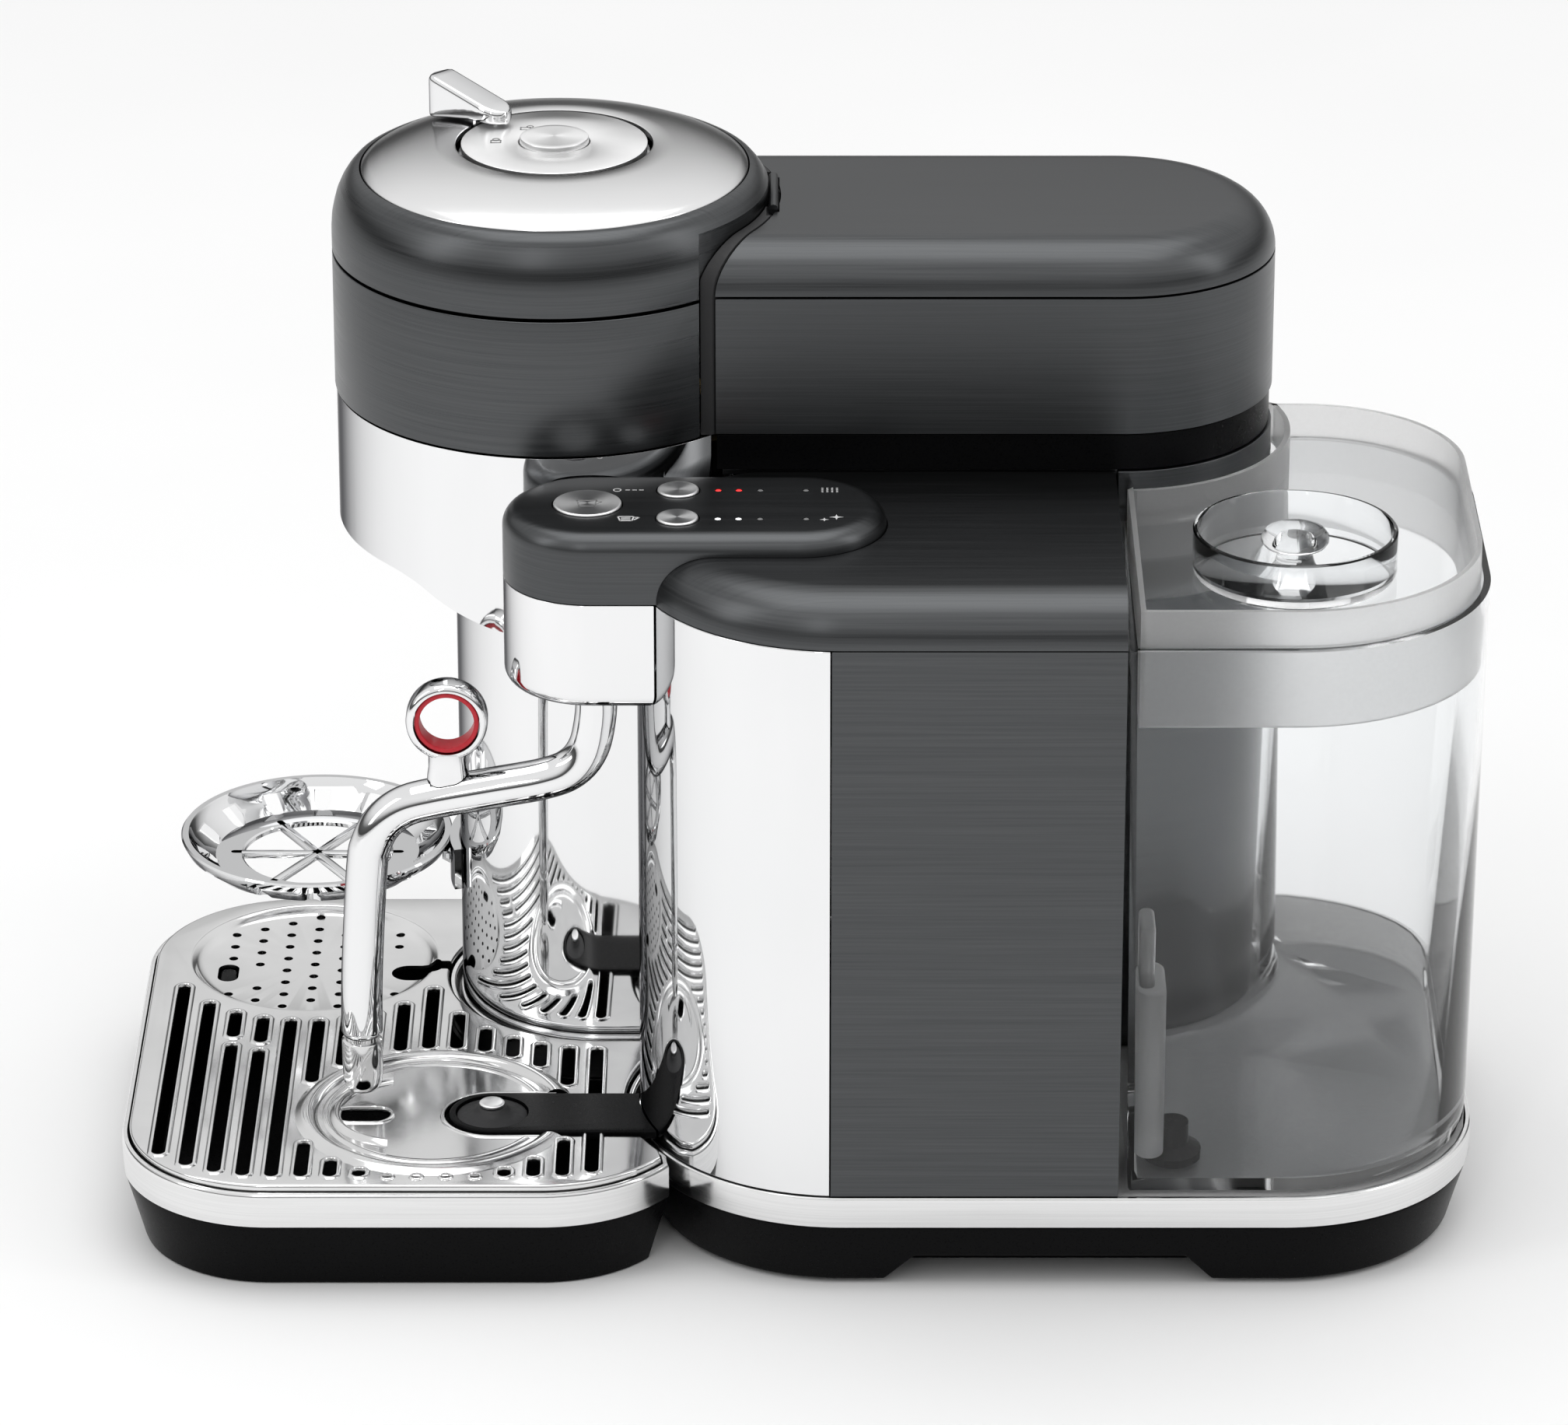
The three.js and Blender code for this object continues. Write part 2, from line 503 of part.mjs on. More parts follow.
function buildLid() {
  const z0 = head.seamZ + gap;
  const top = lidPart.shoulderZ;
  const shoulder = [
    [head.r, z0], [head.r, 296], [head.r - 0.9, 303], [head.r - 3.2, 309.5],
    [lidPart.domeR + 2.6, top - 1.1], [lidPart.domeR, top], [lidPart.domeR, top - 4], [head.r - 5.5, 303],
    [head.r - 4, z0 + 2], [44, z0 + 2], [44, z0], [head.r, z0],
  ];
  const groove = rod(hinge.r + slip, -hinge.half - 1, hinge.half + 1, 12).rotateX(Math.PI / 2)
    .translate(hinge.x, head.y, hinge.z);
  const trimmed = cut(
    lathe(shoulder, headSides).translate(head.x, head.y, 0), rearTrim(z0 - 1, top + 2), groove,
  );
  add('lid_shoulder', trimmed, look.dark);

  const r0 = lidPart.domeR - gap;
  const dome = [
    [r0, top - 3.4], [r0, top + 0.2], [54, top + 3.4], [44, top + 5.8], [lidPart.neckR, top + 7.2],
    [lidPart.neckR, top + 5.2], [54, top + 1.2], [56, top - 3.4], [r0, top - 3.4],
  ];
  add('lid_dome', lathe(dome, headSides), look.chrome, [head.x, head.y, 0]);

  const discZ = lidPart.discZ;
  const disc = [
    [11.3, discZ - 2.2], [lidPart.discR, discZ - 2.2], [lidPart.discR, discZ], [11.3, discZ + 0.3],
    [11.3, discZ - 2.2],
  ];
  add('lid_disc', lathe(disc, 32), look.steel, [head.x, head.y, 0]);
  const cap = [
    [0, discZ - 6.4], [17, discZ - 6.4], [17, discZ - 2.6], [10.8, discZ - 2.6], [10.8, discZ + 1.6],
    [10.2, discZ + 2], [0, discZ + 2.1],
  ];
  add('lid_cap', lathe(cap, 24), look.steel, [head.x, head.y, 0]);

  const plate = [
    [0, 290], [26, 290], [28, 292], [28, 298], [16, 300], [16, z0 + 18], [0, z0 + 18],
  ];
  const needles = [0, 120, 240].map((a) => {
    const [x, y] = polar(0, 0, 20, a);
    return lathe([[0, 286], [1.4, 290.5], [0, 290.5]], 8).translate(x, y, 0);
  });
  add('piercing_plate', join(lathe(plate, 20), ...needles), look.steel, [head.x, head.y, 0]);

  const pin = rod(hinge.r, -hinge.half, hinge.half, 12).rotateX(Math.PI / 2);
  add('lid_hinge_pin', pin, look.steel, [hinge.x, head.y, hinge.z]);
}

// ---------- lock lever: a wedge over the dome, on a hub under the disc ----------
function buildLever() {
  const under = lidPart.discZ + 1.0;
  const side = [
    [lever.innerR, under + 0.2], [31.6, under + 0.2], [40, under - 1.2], [lever.outerR, under - 3.2],
    [lever.outerR, under + 9.6], [lever.outerR - 3, under + 11.4], [lever.innerR + 3, under + 5.4],
    [lever.innerR, under + 4],
  ];
  const bar = prism(side, -lever.half, lever.half).rotateX(Math.PI / 2);
  const plan = prism(pill(lever.innerR + 5, 0, lever.outerR - 2, 0, lever.half, 15), 300, 345);
  const hubZ = lidPart.discZ - 3;
  const hub = tubeRing(22, 29.9, hubZ - 2.4, hubZ - 0.3, 36);
  const neckOutline = [
    ...arc(0, 0, 29.9 + 0.5, -9, 9, 4.5), ...arc(0, 0, 29.6, 9, -9, 4.5),
  ];
  const neck = prism(neckOutline, hubZ - 2, under + 1.5);
  const piece = join(common(bar, plan), neck, hub);
  add('lock_lever', piece.rotateZ(rad(lever.angle)), look.chrome, [head.x, head.y, 0]);
}

// ---------- capsule drive inside the head ----------
const drive = { holderPulley: 13, motorPulley: 6.5, motorX: -31, z: 238, beltT: 1.4 };

function buildDrive() {
  const holder = [
    [0, 246.4], [8, 246.4], [8, 258], [24, 260], [29, 268], [31, 284], [37, 285], [37, 287.4],
    [29.6, 287.4], [27, 269], [22, 262], [0, 261.5],
  ];
  add('capsule_holder', lathe(holder, 24), look.steel, [head.x, head.y, 0]);
  add('holder_bearing', tubeRing(8 + 0.1, 14.2, 249.4, 256.5, 24), look.steel, [head.x, head.y, 0]);
  const wheel = (r) => lathe([
    [0, drive.z - 3], [r, drive.z - 3], [r, drive.z + 3], [0, drive.z + 3],
  ], 24);
  const holderPulley = join(wheel(drive.holderPulley), rod(7, drive.z, 246.1, 16));
  add('holder_pulley', holderPulley, look.black, [head.x, head.y, 0]);
  const shaft = rod(2, 214, drive.z + 1, 12);
  add('motor_pulley', join(wheel(drive.motorPulley), shaft), look.brass, [drive.motorX, head.y, 0]);
  const motor = lathe([
    [0, 190], [15, 190], [15, 228], [7, 228], [7, 231], [2.5, 231], [2.5, 212], [0, 212],
  ], 24);
  add('spin_motor', motor, look.steel, [drive.motorX, head.y, 0]);
  add('drive_belt', beltLoop(), look.rubber);
}

// a flat belt: outside tangents around the two pulleys
function beltLoop() {
  const reach = drive.motorX - head.x;
  const loop = (extra) => {
    const big = drive.holderPulley + extra;
    const small = drive.motorPulley + extra;
    const lean = Math.acos((big - small) / reach) * 180 / Math.PI;
    return [
      ...arc(head.x, head.y, big, lean, 360 - lean, 12),
      ...arc(drive.motorX, head.y, small, -lean, lean, 15),
    ];
  };
  return prism(loop(0.3 + drive.beltT), drive.z - 2.5, drive.z + 2.5, [loop(0.3)]);
}

// ---------- used-capsule container: the arm ----------
function buildContainer() {
  const front = headRod(head.trimR + gap * 2 + arm.frameT, 200, 330);
  const seam = head.seamZ;
  const keep = (z0, z1) => block(-60, -20, z0, 200, 120, z1);
  const ahead = block(-80, -30, 200, head.trimX + 3.9, 130, 330);
  const shell = common(armFull(0), keep(head.bottomZ, seam - gap));
  const inner = prism(inset(armOutline(arm.r, -60), arm.wall), head.bottomZ + arm.wall, seam + 1);
  add('container_shell', cut(shell, inner, front, ahead), look.dark);

  const cover = common(armFull(0), keep(seam + gap, 400));
  const hollow = domed(inset(armOutline(arm.r, -60), arm.wall), seam - 1, arm.topZ - arm.wall, arm.fillet - 2, 3);
  const pinRoom = rod(hinge.r + slip, -hinge.half - 1, hinge.half + 1, 12).rotateX(Math.PI / 2)
    .translate(hinge.x, head.y, hinge.z);
  add('container_cover', cut(cover, hollow, front, ahead, pinRoom), look.dark);

  const cupWall = inset(armOutline(arm.r, 6), arm.wall + 1.2);
  const liner = cut(
    prism(cupWall, head.bottomZ + arm.wall + gap, seam - 2),
    prism(inset(cupWall, 1.8), head.bottomZ + arm.wall + gap + 1.8, seam),
  );
  add('capsule_bin', liner, look.black);
}

// ---------- steam wand ----------
function buildWand() {
  const y = pod.y;
  const x0 = pod.frontX + 1;
  const lowZ = wand.tipZ + 20;
  add('wand_joint', lathe([
    [0, wand.pivotZ - 8.4], [4.6, wand.pivotZ - 7.1], [7.4, wand.pivotZ - 4], [8.4, wand.pivotZ],
    [7.4, wand.pivotZ + 4], [4.6, wand.pivotZ + 7.1], [0, wand.pivotZ + 8.4],
  ], 20), look.steel, [x0, y, 0]);
  const { nearX, nearZ, farX, farZ, tipX } = wand;
  const route = [
    [x0, wand.pivotZ - 8.9], [x0, nearZ + 22], [x0 - 2.3, nearZ + 10.8], [x0 - 7.6, nearZ + 3.7],
    [nearX, nearZ], [(nearX + farX) / 2, (nearZ + farZ) / 2], [farX, farZ], [farX - 9.7, farZ - 2.8],
    [tipX + 8.2, farZ - 8], [tipX + 4.4, farZ - 15], [tipX + 2.7, farZ - 24], [tipX + 0.5, lowZ + 22],
    [tipX, lowZ],
  ].map(([x, z]) => [x, y, z]);
  add('wand_pipe', sweep(route, wand.r, 12, 26), look.chrome);
  const tip = [
    [0, wand.tipZ], [3.6, wand.tipZ], [5.6, wand.tipZ + 1.6], [6.3, wand.tipZ + 5],
    [6.4, lowZ - 2], [5.7, lowZ - 1.4], [5.7, lowZ - 0.4], [0, lowZ - 0.4],
  ];
  add('wand_tip', lathe(tip, 20), look.steel, [wand.tipX, y, 0]);

  const half = wand.ringDepth / 2;
  const bandR = wand.ringR;
  const band = lathe([
    [bandR - 2.3, -half], [bandR - 0.9, -half], [bandR, -half + 1.4], [bandR, half - 1.4],
    [bandR - 0.9, half], [bandR - 2.3, half], [bandR - 2.3, -half],
  ], 28).rotateX(Math.PI / 2).translate(wand.ringX, y, wand.ringZ);
  const stem = prism(pill(wand.ringX - 2, y, wand.ringX + 2, y, 4, 30), farZ, wand.ringZ - bandR + 1.5);
  const pipeRoom = sweep(route, wand.r + gap, 12, 26);
  add('ring_handle', cut(join(band, stem), pipeRoom), look.chrome);
  const grip = tubeRing(bandR - 4.2, bandR - 2.3 - gap, -half + 0.6, half - 0.6, 28).rotateX(Math.PI / 2);
  add('ring_grip', grip, look.red, [wand.ringX, y, wand.ringZ]);
}

// ---------- cup support ----------
function buildCupSupport() {
  const { x, y, r, topZ, z } = cup;
  const dish = lathe([
    [30, z], [34, z], [39, z + 3.2], [r, topZ - 1], [r, topZ], [41.5, topZ], [36.5, z + 5], [33, z + 2],
    [30, z + 2], [30, z],
  ], 28);
  const plate = tubeRing(24, 31, z, z + 2, 28);
  const windows = Array.from({ length: 14 }, (_, i) =>
    block(35, -3.4, z - 1, 42, 3.4, topZ - 3).rotateZ(rad(13 + 360 / 14 * i)));
  const ribs = [0, 60, 120].map((a) => block(-31, -1.4, z, 31, 1.4, z + 2).rotateZ(rad(a)));
  const ring = join(cut(dish, ...windows), plate, ...ribs).translate(x, y, 0);
  const saddleR = column.r + slip;
  const saddle = prism([
    ...arc(column.x, head.y, saddleR + 3, 164, 196, 8), ...arc(column.x, head.y, saddleR, 196, 164, 8),
  ], z - 2, topZ + 2);
  const reach = prism([[x + r - 3, y - 10], [column.x - saddleR - 1.5, head.y - 8],
    [column.x - saddleR - 1.5, head.y + 8], [x + r - 3, y + 4]], topZ - 6, topZ - 2);
  add('cup_support', join(ring, saddle, reach), look.chrome);
}

// ---------- drip tray ----------
function buildTray() {
  const top = base.plinthZ - gap;
  const outside = loft([
    { points: trayOutline(tray.taper), z: 0 }, { points: trayOutline(0.6), z: top },
  ]);
  const inside = loft([
    { points: trayOutline(tray.taper + tray.wall), z: 2.4 },
    { points: trayOutline(0.6 + tray.wall), z: top + 1 },
  ]);
  add('tray_base', cut(outside, inside), look.black);
  const band = prism(trayOutline(), base.plinthZ, tray.rimZ, [trayOutline(tray.bandT)]);
  add('tray_band', band, look.chrome);
  add('drip_grid', buildGrid(), look.steel);
  const floatBar = prism(
    pill(float.x, float.y - float.half, float.x, float.y + float.half, float.r, 30), 12, tray.gridZ - 4,
  );
  add('tray_float', floatBar, look.red);
}

// half the length of the chord of a circle at a distance from its centre, 0 outside it
const halfChord = (r, off) => Math.sqrt(Math.max(0, r * r - off * off));

// takes the stretch from centre - half to centre + half out of a list of stretches
const without = (stretches, centre, half) => (half === 0 ? stretches : stretches.flatMap(([from, to]) =>
  [[from, Math.min(to, centre - half)], [Math.max(from, centre + half), to]]));

function gridSlots() {
  const slots = [];
  const restR = grid.restR + 3.2;
  const bodyRoom = body.frontY - body.nearY + dockGap + 6;
  for (let x = grid.firstX; x <= grid.lastX; x += grid.pitch) {
    const fromCorner = Math.max(0, tray.frontX + tray.cornerR - x, x - tray.rearCornerX);
    const drop = tray.cornerR - Math.sqrt(tray.cornerR ** 2 - fromCorner ** 2);
    const low = body.nearY + grid.margin + 2.2 + drop;
    const dish = Math.abs(x - grid.dishX);
    const columnR = column.r + base.step + dockGap + 6;
    const overDish = dish < grid.dishR + 3 ? grid.dishY - Math.sqrt((grid.dishR + 4) ** 2 - dish ** 2) : 40;
    const off = Math.abs(x - column.x);
    const overColumn = off < columnR ? head.y - Math.sqrt(columnR ** 2 - off ** 2) : 40;
    const high = Math.min(overDish, overColumn) - 2;
    const offRest = without([[low, high]], grid.restY, halfChord(restR, x - grid.restX));
    const clear = without(offRest, body.frontY, halfChord(bodyRoom, x - body.frontX));
    for (const [y0, y1] of clear) {
      if (y1 - y0 > grid.slotW + 1) {
        const half = grid.slotW / 2;
        slots.push(pill(x, y0 + half, x, y1 - half, half, 90));
      }
    }
  }
  return slots;
}

function dishHoles() {
  const holes = [];
  const reach = Math.floor(grid.dishR / grid.pitch);
  for (let i = -reach; i <= reach; i++) {
    for (let j = -reach; j <= reach; j++) {
      const x = grid.dishX + i * grid.pitch;
      const y = grid.dishY + (j + (i % 2) / 2) * grid.pitch;
      const inDish = Math.hypot(x - grid.dishX, y - grid.dishY) < grid.dishR - 4.5;
      const nearFloat = Math.hypot(x - float.x, y - float.y) < 11;
      const nearFinger = Math.hypot(x - finger.fromX, y - finger.y) < 12;
      if (inDish && !nearFloat && !nearFinger) holes.push(circle(x, y, grid.holeR, 5));
    }
  }
  return holes;
}

function buildGrid() {
  const outline = trayOutline(grid.inset);
  const z1 = tray.gridZ;
  const t = tray.gridT;
  const dishHole = circle(grid.dishX, grid.dishY, grid.dishR - 1, 36);
  const floatR = float.r + float.room;
  const floatHole = pill(float.x, float.y - float.half, float.x, float.y + float.half, floatR, 30);
  const plate = prism(outline, z1 - t, z1, [...gridSlots(), dishHole]);
  const dishRim = tubeRing(grid.dishR - 2.4, grid.dishR, z1 - t - grid.dishDrop, z1, 36);
  const dishFloor = prism(circle(0, 0, grid.dishR - 1.2, 36), z1 - t - grid.dishDrop, z1 - grid.dishDrop,
    [...dishHoles(), floatHole].map((hole) => hole.map(([x, y]) => [x - grid.dishX, y - grid.dishY])));
  const dish = join(dishFloor, dishRim).translate(grid.dishX, grid.dishY, 0);
  const rest = lathe([
    [grid.restR - grid.restW, z1 - t], [grid.restR, z1 - t], [grid.restR, z1 + grid.restRise - 0.6],
    [grid.restR - 2, z1 + grid.restRise],
    [grid.restR - grid.restW, z1 - t],
  ], 36).translate(grid.restX, grid.restY, 0);
  const sensorSlot = prism(pill(sensor.x, sensor.y, -20, sensor.y, sensor.slotHalf, 15), 10, 60);
  const eyeHole = prism(pill(eye.fromX, sensor.y, eye.toX, sensor.y, eye.r, 20), 10, 60);
  const { fromX, toX, y, r, neckX, neckHalf } = finger;
  const fingerHole = join(
    prism(pill(fromX, y, toX, y, r, 20), 10, 60), prism(box2(toX - 1, y - neckHalf, neckX, y + neckHalf), 10, 60),
  );
  const skirtH = 3;
  const skirt = prism(outline, z1 - t - skirtH, z1 - t + 0.5, [trayOutline(grid.inset + 1.4)]);
  return cut(join(plate, dish, rest, skirt), sensorSlot, eyeHole, fingerHole);
}

// ---------- milk temperature sensor ----------
function buildSensor() {
  const { x, y, z } = sensor;
  const start = body.frontX - bodyR;
  const strip = prism(pill(x, y, start + 30, y, sensor.armHalf, 15), z - 2.4, z + 0.4);
  const bodyRoom = prism(circle(body.frontX, body.frontY, bodyR + gap, 60), 0, 80);
  const seat = rod(sensor.r + slip, z - 4, z + 2, 24).translate(x, y, 0);
  add('sensor_arm', cut(strip, bodyRoom, seat), look.black);
  const cone = [
    [0, z - 1.2], [sensor.r, z - 1.2], [sensor.r, z - 0.4], [5.2, z + 1.4], [4.6, z + 2.6], [0, z + 2.6],
  ];
  add('sensor_cone', lathe(cone, 24), look.rubber, [x, y, 0]);
  add('sensor_tip', rod(4, z + 3, z + 4, 16), look.steel, [x, y, 0]);
}

// ---------- water tank ----------
function buildTank() {
  const outline = tankOutline();
  const top = body.seamZ - gap;
  const floor = tank.bottomZ + 3;
  const outside = loft([
    { points: inset(outline, tank.draft + 1.5), z: tank.bottomZ },
    { points: inset(outline, tank.draft), z: tank.bottomZ + 2 },
    { points: outline, z: top },
  ]);
  const inside = loft([
    { points: inset(outline, tank.draft + tank.wall), z: floor },
    { points: inset(outline, tank.wall), z: top + 1 },
  ]);
  add('tank_shell', cut(outside, inside), look.clear);

  const lidTop = domed(outline, body.seamZ, tank.lidZ, 7, 2);
  const lidHollow = domed(inset(outline, tank.wall), body.seamZ - 1, tank.lidZ - 2, 6, 2);
  const skirtOuter = inset(outline, tank.wall + 0.8);
  const skirt = prism(skirtOuter, 190, tank.lidZ - 2.5, [inset(skirtOuter, 1.6)]);
  const wellHole = rod(well.r - 1.8, 180, 260, 28).translate(well.x, well.y, 0);
  const wellCup = lathe([
    [0, well.floorZ], [well.r, well.floorZ], [well.r, tank.lidZ + 0.6], [well.r - 1.8, tank.lidZ + 0.6],
    [well.r - 1.8, well.floorZ + 2], [0, well.floorZ + 2],
  ], 28).translate(well.x, well.y, 0);
  const knob = lathe([
    [0, 217], [6.5, 217], [5.5, 224], [well.knobR - 0.9, 225], [well.knobR, 228], [well.knobR - 2.5, 230.4], [0, 231],
  ], 14).translate(well.x, well.y, 0);
  add('tank_lid', join(cut(lidTop, lidHollow, wellHole), skirt, wellCup, knob), look.clear);

  const seat = lathe([
    [0, floor + gap], [9, floor + gap], [9, floor + 3], [5, floor + 5], [5, floor + 12], [0, floor + 12],
  ], 20);
  add('tank_valve', seat, look.black, [valve.x, valve.y, 0]);
}

// ---------- inner works ----------
function buildWorks() {
  const deck = base.bandZ + gap;
  add('steam_boiler', prism(pill(-22, -52, 18, -52, 22, 20), 118, 168), look.steel);
  const pumpBody = block(34, -88, deck + 6, 72, -52, deck + 46);
  const pump = join(pumpBody, rod(13, deck + 46, deck + 82, 20).translate(53, -70, 0));
  add('water_pump', pump, look.black);
  const brewHeater = prism(box2(-64, 18, -2, 68), 96, 150);
  add('brew_heater', brewHeater, look.steel);
  const pipe = [
    [53, -70, deck + 83], [53, -70, 150], [40, -60, 172], [10, -20, 178], [-30, 20, 172], [-34, 40, 152],
  ];
  add('water_pipe', sweep(pipe, 3, 6, 16), look.clear);
  const inlet = join(block(150.2 - 1.2, 76, 44, 154, 100, 66), block(140, 79, 47, 150, 97, 63));
  add('power_inlet', cut(inlet, block(151, 80, 48, 158, 96, 62)), look.black);
}

buildBase();
buildBody();
buildColumns();
buildPod();
buildHousing();
buildHead();
buildLid();
buildLever();
buildDrive();
buildContainer();
buildWand();
buildCupSupport();
buildTray();
buildSensor();
buildTank();
buildWorks();

export default group;
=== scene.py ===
import math

import bmesh
import bpy
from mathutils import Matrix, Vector


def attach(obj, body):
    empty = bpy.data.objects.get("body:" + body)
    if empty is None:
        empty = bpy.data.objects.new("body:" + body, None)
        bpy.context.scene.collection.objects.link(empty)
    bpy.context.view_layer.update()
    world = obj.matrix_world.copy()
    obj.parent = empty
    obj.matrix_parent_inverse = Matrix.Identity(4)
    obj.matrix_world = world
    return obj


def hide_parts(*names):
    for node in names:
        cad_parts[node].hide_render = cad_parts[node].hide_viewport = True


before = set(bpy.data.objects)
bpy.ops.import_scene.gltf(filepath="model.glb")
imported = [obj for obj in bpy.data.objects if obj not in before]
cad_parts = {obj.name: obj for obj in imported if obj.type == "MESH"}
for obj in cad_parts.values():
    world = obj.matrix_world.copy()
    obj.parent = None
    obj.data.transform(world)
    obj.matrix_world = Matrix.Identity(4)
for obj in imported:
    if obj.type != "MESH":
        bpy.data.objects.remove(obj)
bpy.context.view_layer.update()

# ---------- camera: the photograph's viewing angle ----------
camera_data = bpy.data.cameras.new("camera")
camera_data.sensor_width = 36
camera_data.lens = 181.25
camera_data.clip_end = 50
camera = bpy.data.objects.new("camera", camera_data)
bpy.context.scene.collection.objects.link(camera)
bpy.context.scene.camera = camera
camera.location = (-0.00437, -2.284, 1.1435)
camera.rotation_euler = (math.radians(66.43), 0, 0)
bpy.context.scene.view_settings.view_transform = "Standard"

# ---------- dimensions of the frame, in millimetres ----------
MM = 0.001
GAP = 0.4                     # between touching pieces
STEP = 0.8                    # how far the base stands outside the body
BODY_X, BODY_Y, BODY_R = 13.5, -49.0, 63.2
BODY_NEAR, BODY_REAR, BODY_FAR = -112.2, 98.6, -7.0
PANEL_X, SHEET = 9.6, 1.3
SEAM_Z, COVER_Z, COVER_FILLET = 216.0, 231.5, 15.0
BASE_NEAR, BASE_REAR, BASE_FAR, BASE_CORNER = -113.0, 212.0, 102.0, 62.0
PLINTH_Z, BAND_Z = 22.6, 32.8
HEAD_X, HEAD_Y, HEAD_R = -76.0, 43.0, 70.0
DRUM_Z, LID_Z = 244.0, 289.0
TRIM_R, TRIM_X, FRAME_T = 66.7, -30.5, 3.2
HINGE_X, HINGE_Z = -7.7, 305.6
COLUMN_X, COLUMN_R, COLUMN_TOP, COLUMN_REAR = -62.5, 46.5, 184.0, -27.0
ARM_R, ARM_END, ARM_TOP, ARM_FILLET = 49.6, 100.0, 305.0, 16.0
POD_X0, POD_X1, POD_Y, POD_R, POD_Z, POD_FILLET = -63.5, 0.0, -49.5, 27.0, 238.0, 6.0
HOUSING_X, HOUSING_Z = -20.0, 181.0
SPOUT_X = -134.0
SHOULDER_Z, DOME_R, DISC_R, DISC_Z, NECK_R = 315.0, 61.0, 29.1, 322.4, 30.9
LEVER_ANGLE, LEVER_HALF = 139.0, 5.5
TANK_X, TANK_FAR, TANK_CORNER, TANK_FAR_CORNER, TANK_Z, TANK_LID = 99.4, 65.0, 62.0, 52.0, 33.4, 230.0
TANK_WALL, TANK_DRAFT = 2.2, 2.0
WELL_X, WELL_Y, WELL_R, WELL_Z = 152.0, -50.0, 31.4, 216.0
TRAY_X, TRAY_CORNER, TRAY_REAR_CORNER, TIP_BLUNT = -212.0, 48.0, -80.0, 4.0
RIM_Z, GRID_Z, GRID_T = 34.0, 36.2, 1.6
SLOT_R, SLOT_PITCH, SLOT_FIRST, SLOT_LAST = 2.1, 9, -199, -64
SPLIT_SLOTS = (-181, -172)    # slots with a bridge across them
DOCK_X, DOCK_GAP = -92.0, 1.5
DISH_X, DISH_Y, DISH_R, DISH_DROP = -158.0, 54.5, 41.5, 3.0
REST_X, REST_Y, REST_R = -114.0, -60.0, 41.7
EYE_X0, EYE_X1, EYE_R = -140.0, -133.0, 5.2
FINGER_X0, FINGER_X1, FINGER_Y, FINGER_R = -127.0, -121.0, 48.0, 5.6
FLOAT_X, FLOAT_Y, FLOAT_HALF, FLOAT_R = -186.0, 48.0, 3.0, 2.7
SENSOR_X, SENSOR_Y, SENSOR_Z, SENSOR_R = -96.0, -62.0, 37.0, 11.0
CUP_X, CUP_Y, CUP_R, CUP_TOP, CUP_Z = -156.0, 50.0, 44.0, 84.0, 74.0
WAND_X, WAND_R, WAND_TIP_X, WAND_TIP_Z = -62.5, 6.5, -137.0, 39.0
RING_X, RING_Z, RING_R, RING_HALF = -108.5, 166.6, 12.7, 4.5


# ---------- outlines: lists of (x, y), anticlockwise ----------
def arc(cx, cy, r, a0, a1, step=3.0):
    """Points from angle a0 to a1 in degrees, at most step apart."""
    count = max(2, math.ceil(abs(a1 - a0) / step))
    angles = [math.radians(a0 + (a1 - a0) * i / count) for i in range(count + 1)]
    return [(cx + r * math.cos(a), cy + r * math.sin(a)) for a in angles]


def circle(cx, cy, r, sides=96):
    return arc(cx, cy, r, 0, 360, 360 / sides)[:-1]


def box2(x0, y0, x1, y1):
    return [(x0, y0), (x1, y0), (x1, y1), (x0, y1)]


def pill(ax, ay, bx, by, r, step=6.0):
    """A bar with round ends between two points."""
    turn = math.degrees(math.atan2(by - ay, bx - ax))
    return arc(bx, by, r, turn - 90, turn + 90, step) + arc(ax, ay, r, turn + 90, turn + 270, step)


def inset(points, d):
    """Moves every side inwards by d, keeping the number of points."""
    made = []
    for i, (x, y) in enumerate(points):
        a = (Vector((x, y)) - Vector(points[i - 1])).normalized()
        b = (Vector(points[(i + 1) % len(points)]) - Vector((x, y))).normalized()
        scale = d / max(0.3, 1 + a.dot(b))
        made.append((x - (a.y + b.y) * scale, y + (a.x + b.x) * scale))
    return made


def clean_inset(points, d):
    """Moves the outline inwards by d and drops the points that end up too close to it."""
    def far_enough(p):
        p = Vector(p)
        for k, q in enumerate(points):
            a, b = Vector(points[k - 1]), Vector(q)
            along = max(0.0, min(1.0, (p - a).dot(b - a) / max((b - a).length_squared, 1e-9)))
            if (a + (b - a) * along - p).length < d - 0.05:
                return False
        return True
    return [p for p in inset(points, d) if far_enough(p)]


def far_angle(r, y):
    """Where a circle around the body's front reaches y."""
    return 180 - math.degrees(math.asin((y - BODY_Y) / r))


def column_angle(r, x):
    return math.degrees(math.acos((x - COLUMN_X) / r))


def body_front(r, a0, a1):
    return arc(BODY_X, BODY_Y, r, a0, a1)


def arm_outline(r, front):
    return [(front, HEAD_Y - r), *arc(ARM_END, HEAD_Y, r, -90, 90), (front, HEAD_Y + r)]


def base_outline():
    column_r = COLUMN_R + STEP
    corner = BASE_REAR - BASE_CORNER
    r = BODY_R + STEP
    return [
        *arc(corner, BASE_NEAR + BASE_CORNER, BASE_CORNER, -90, 0),
        *arc(corner, BASE_FAR - BASE_CORNER, BASE_CORNER, 0, 90),
        (DOCK_X + GAP, BASE_FAR),
        *arc(COLUMN_X, HEAD_Y, column_r, column_angle(column_r, DOCK_X + GAP), 270),
        *body_front(r, far_angle(r, HEAD_Y - column_r), 270),
    ]


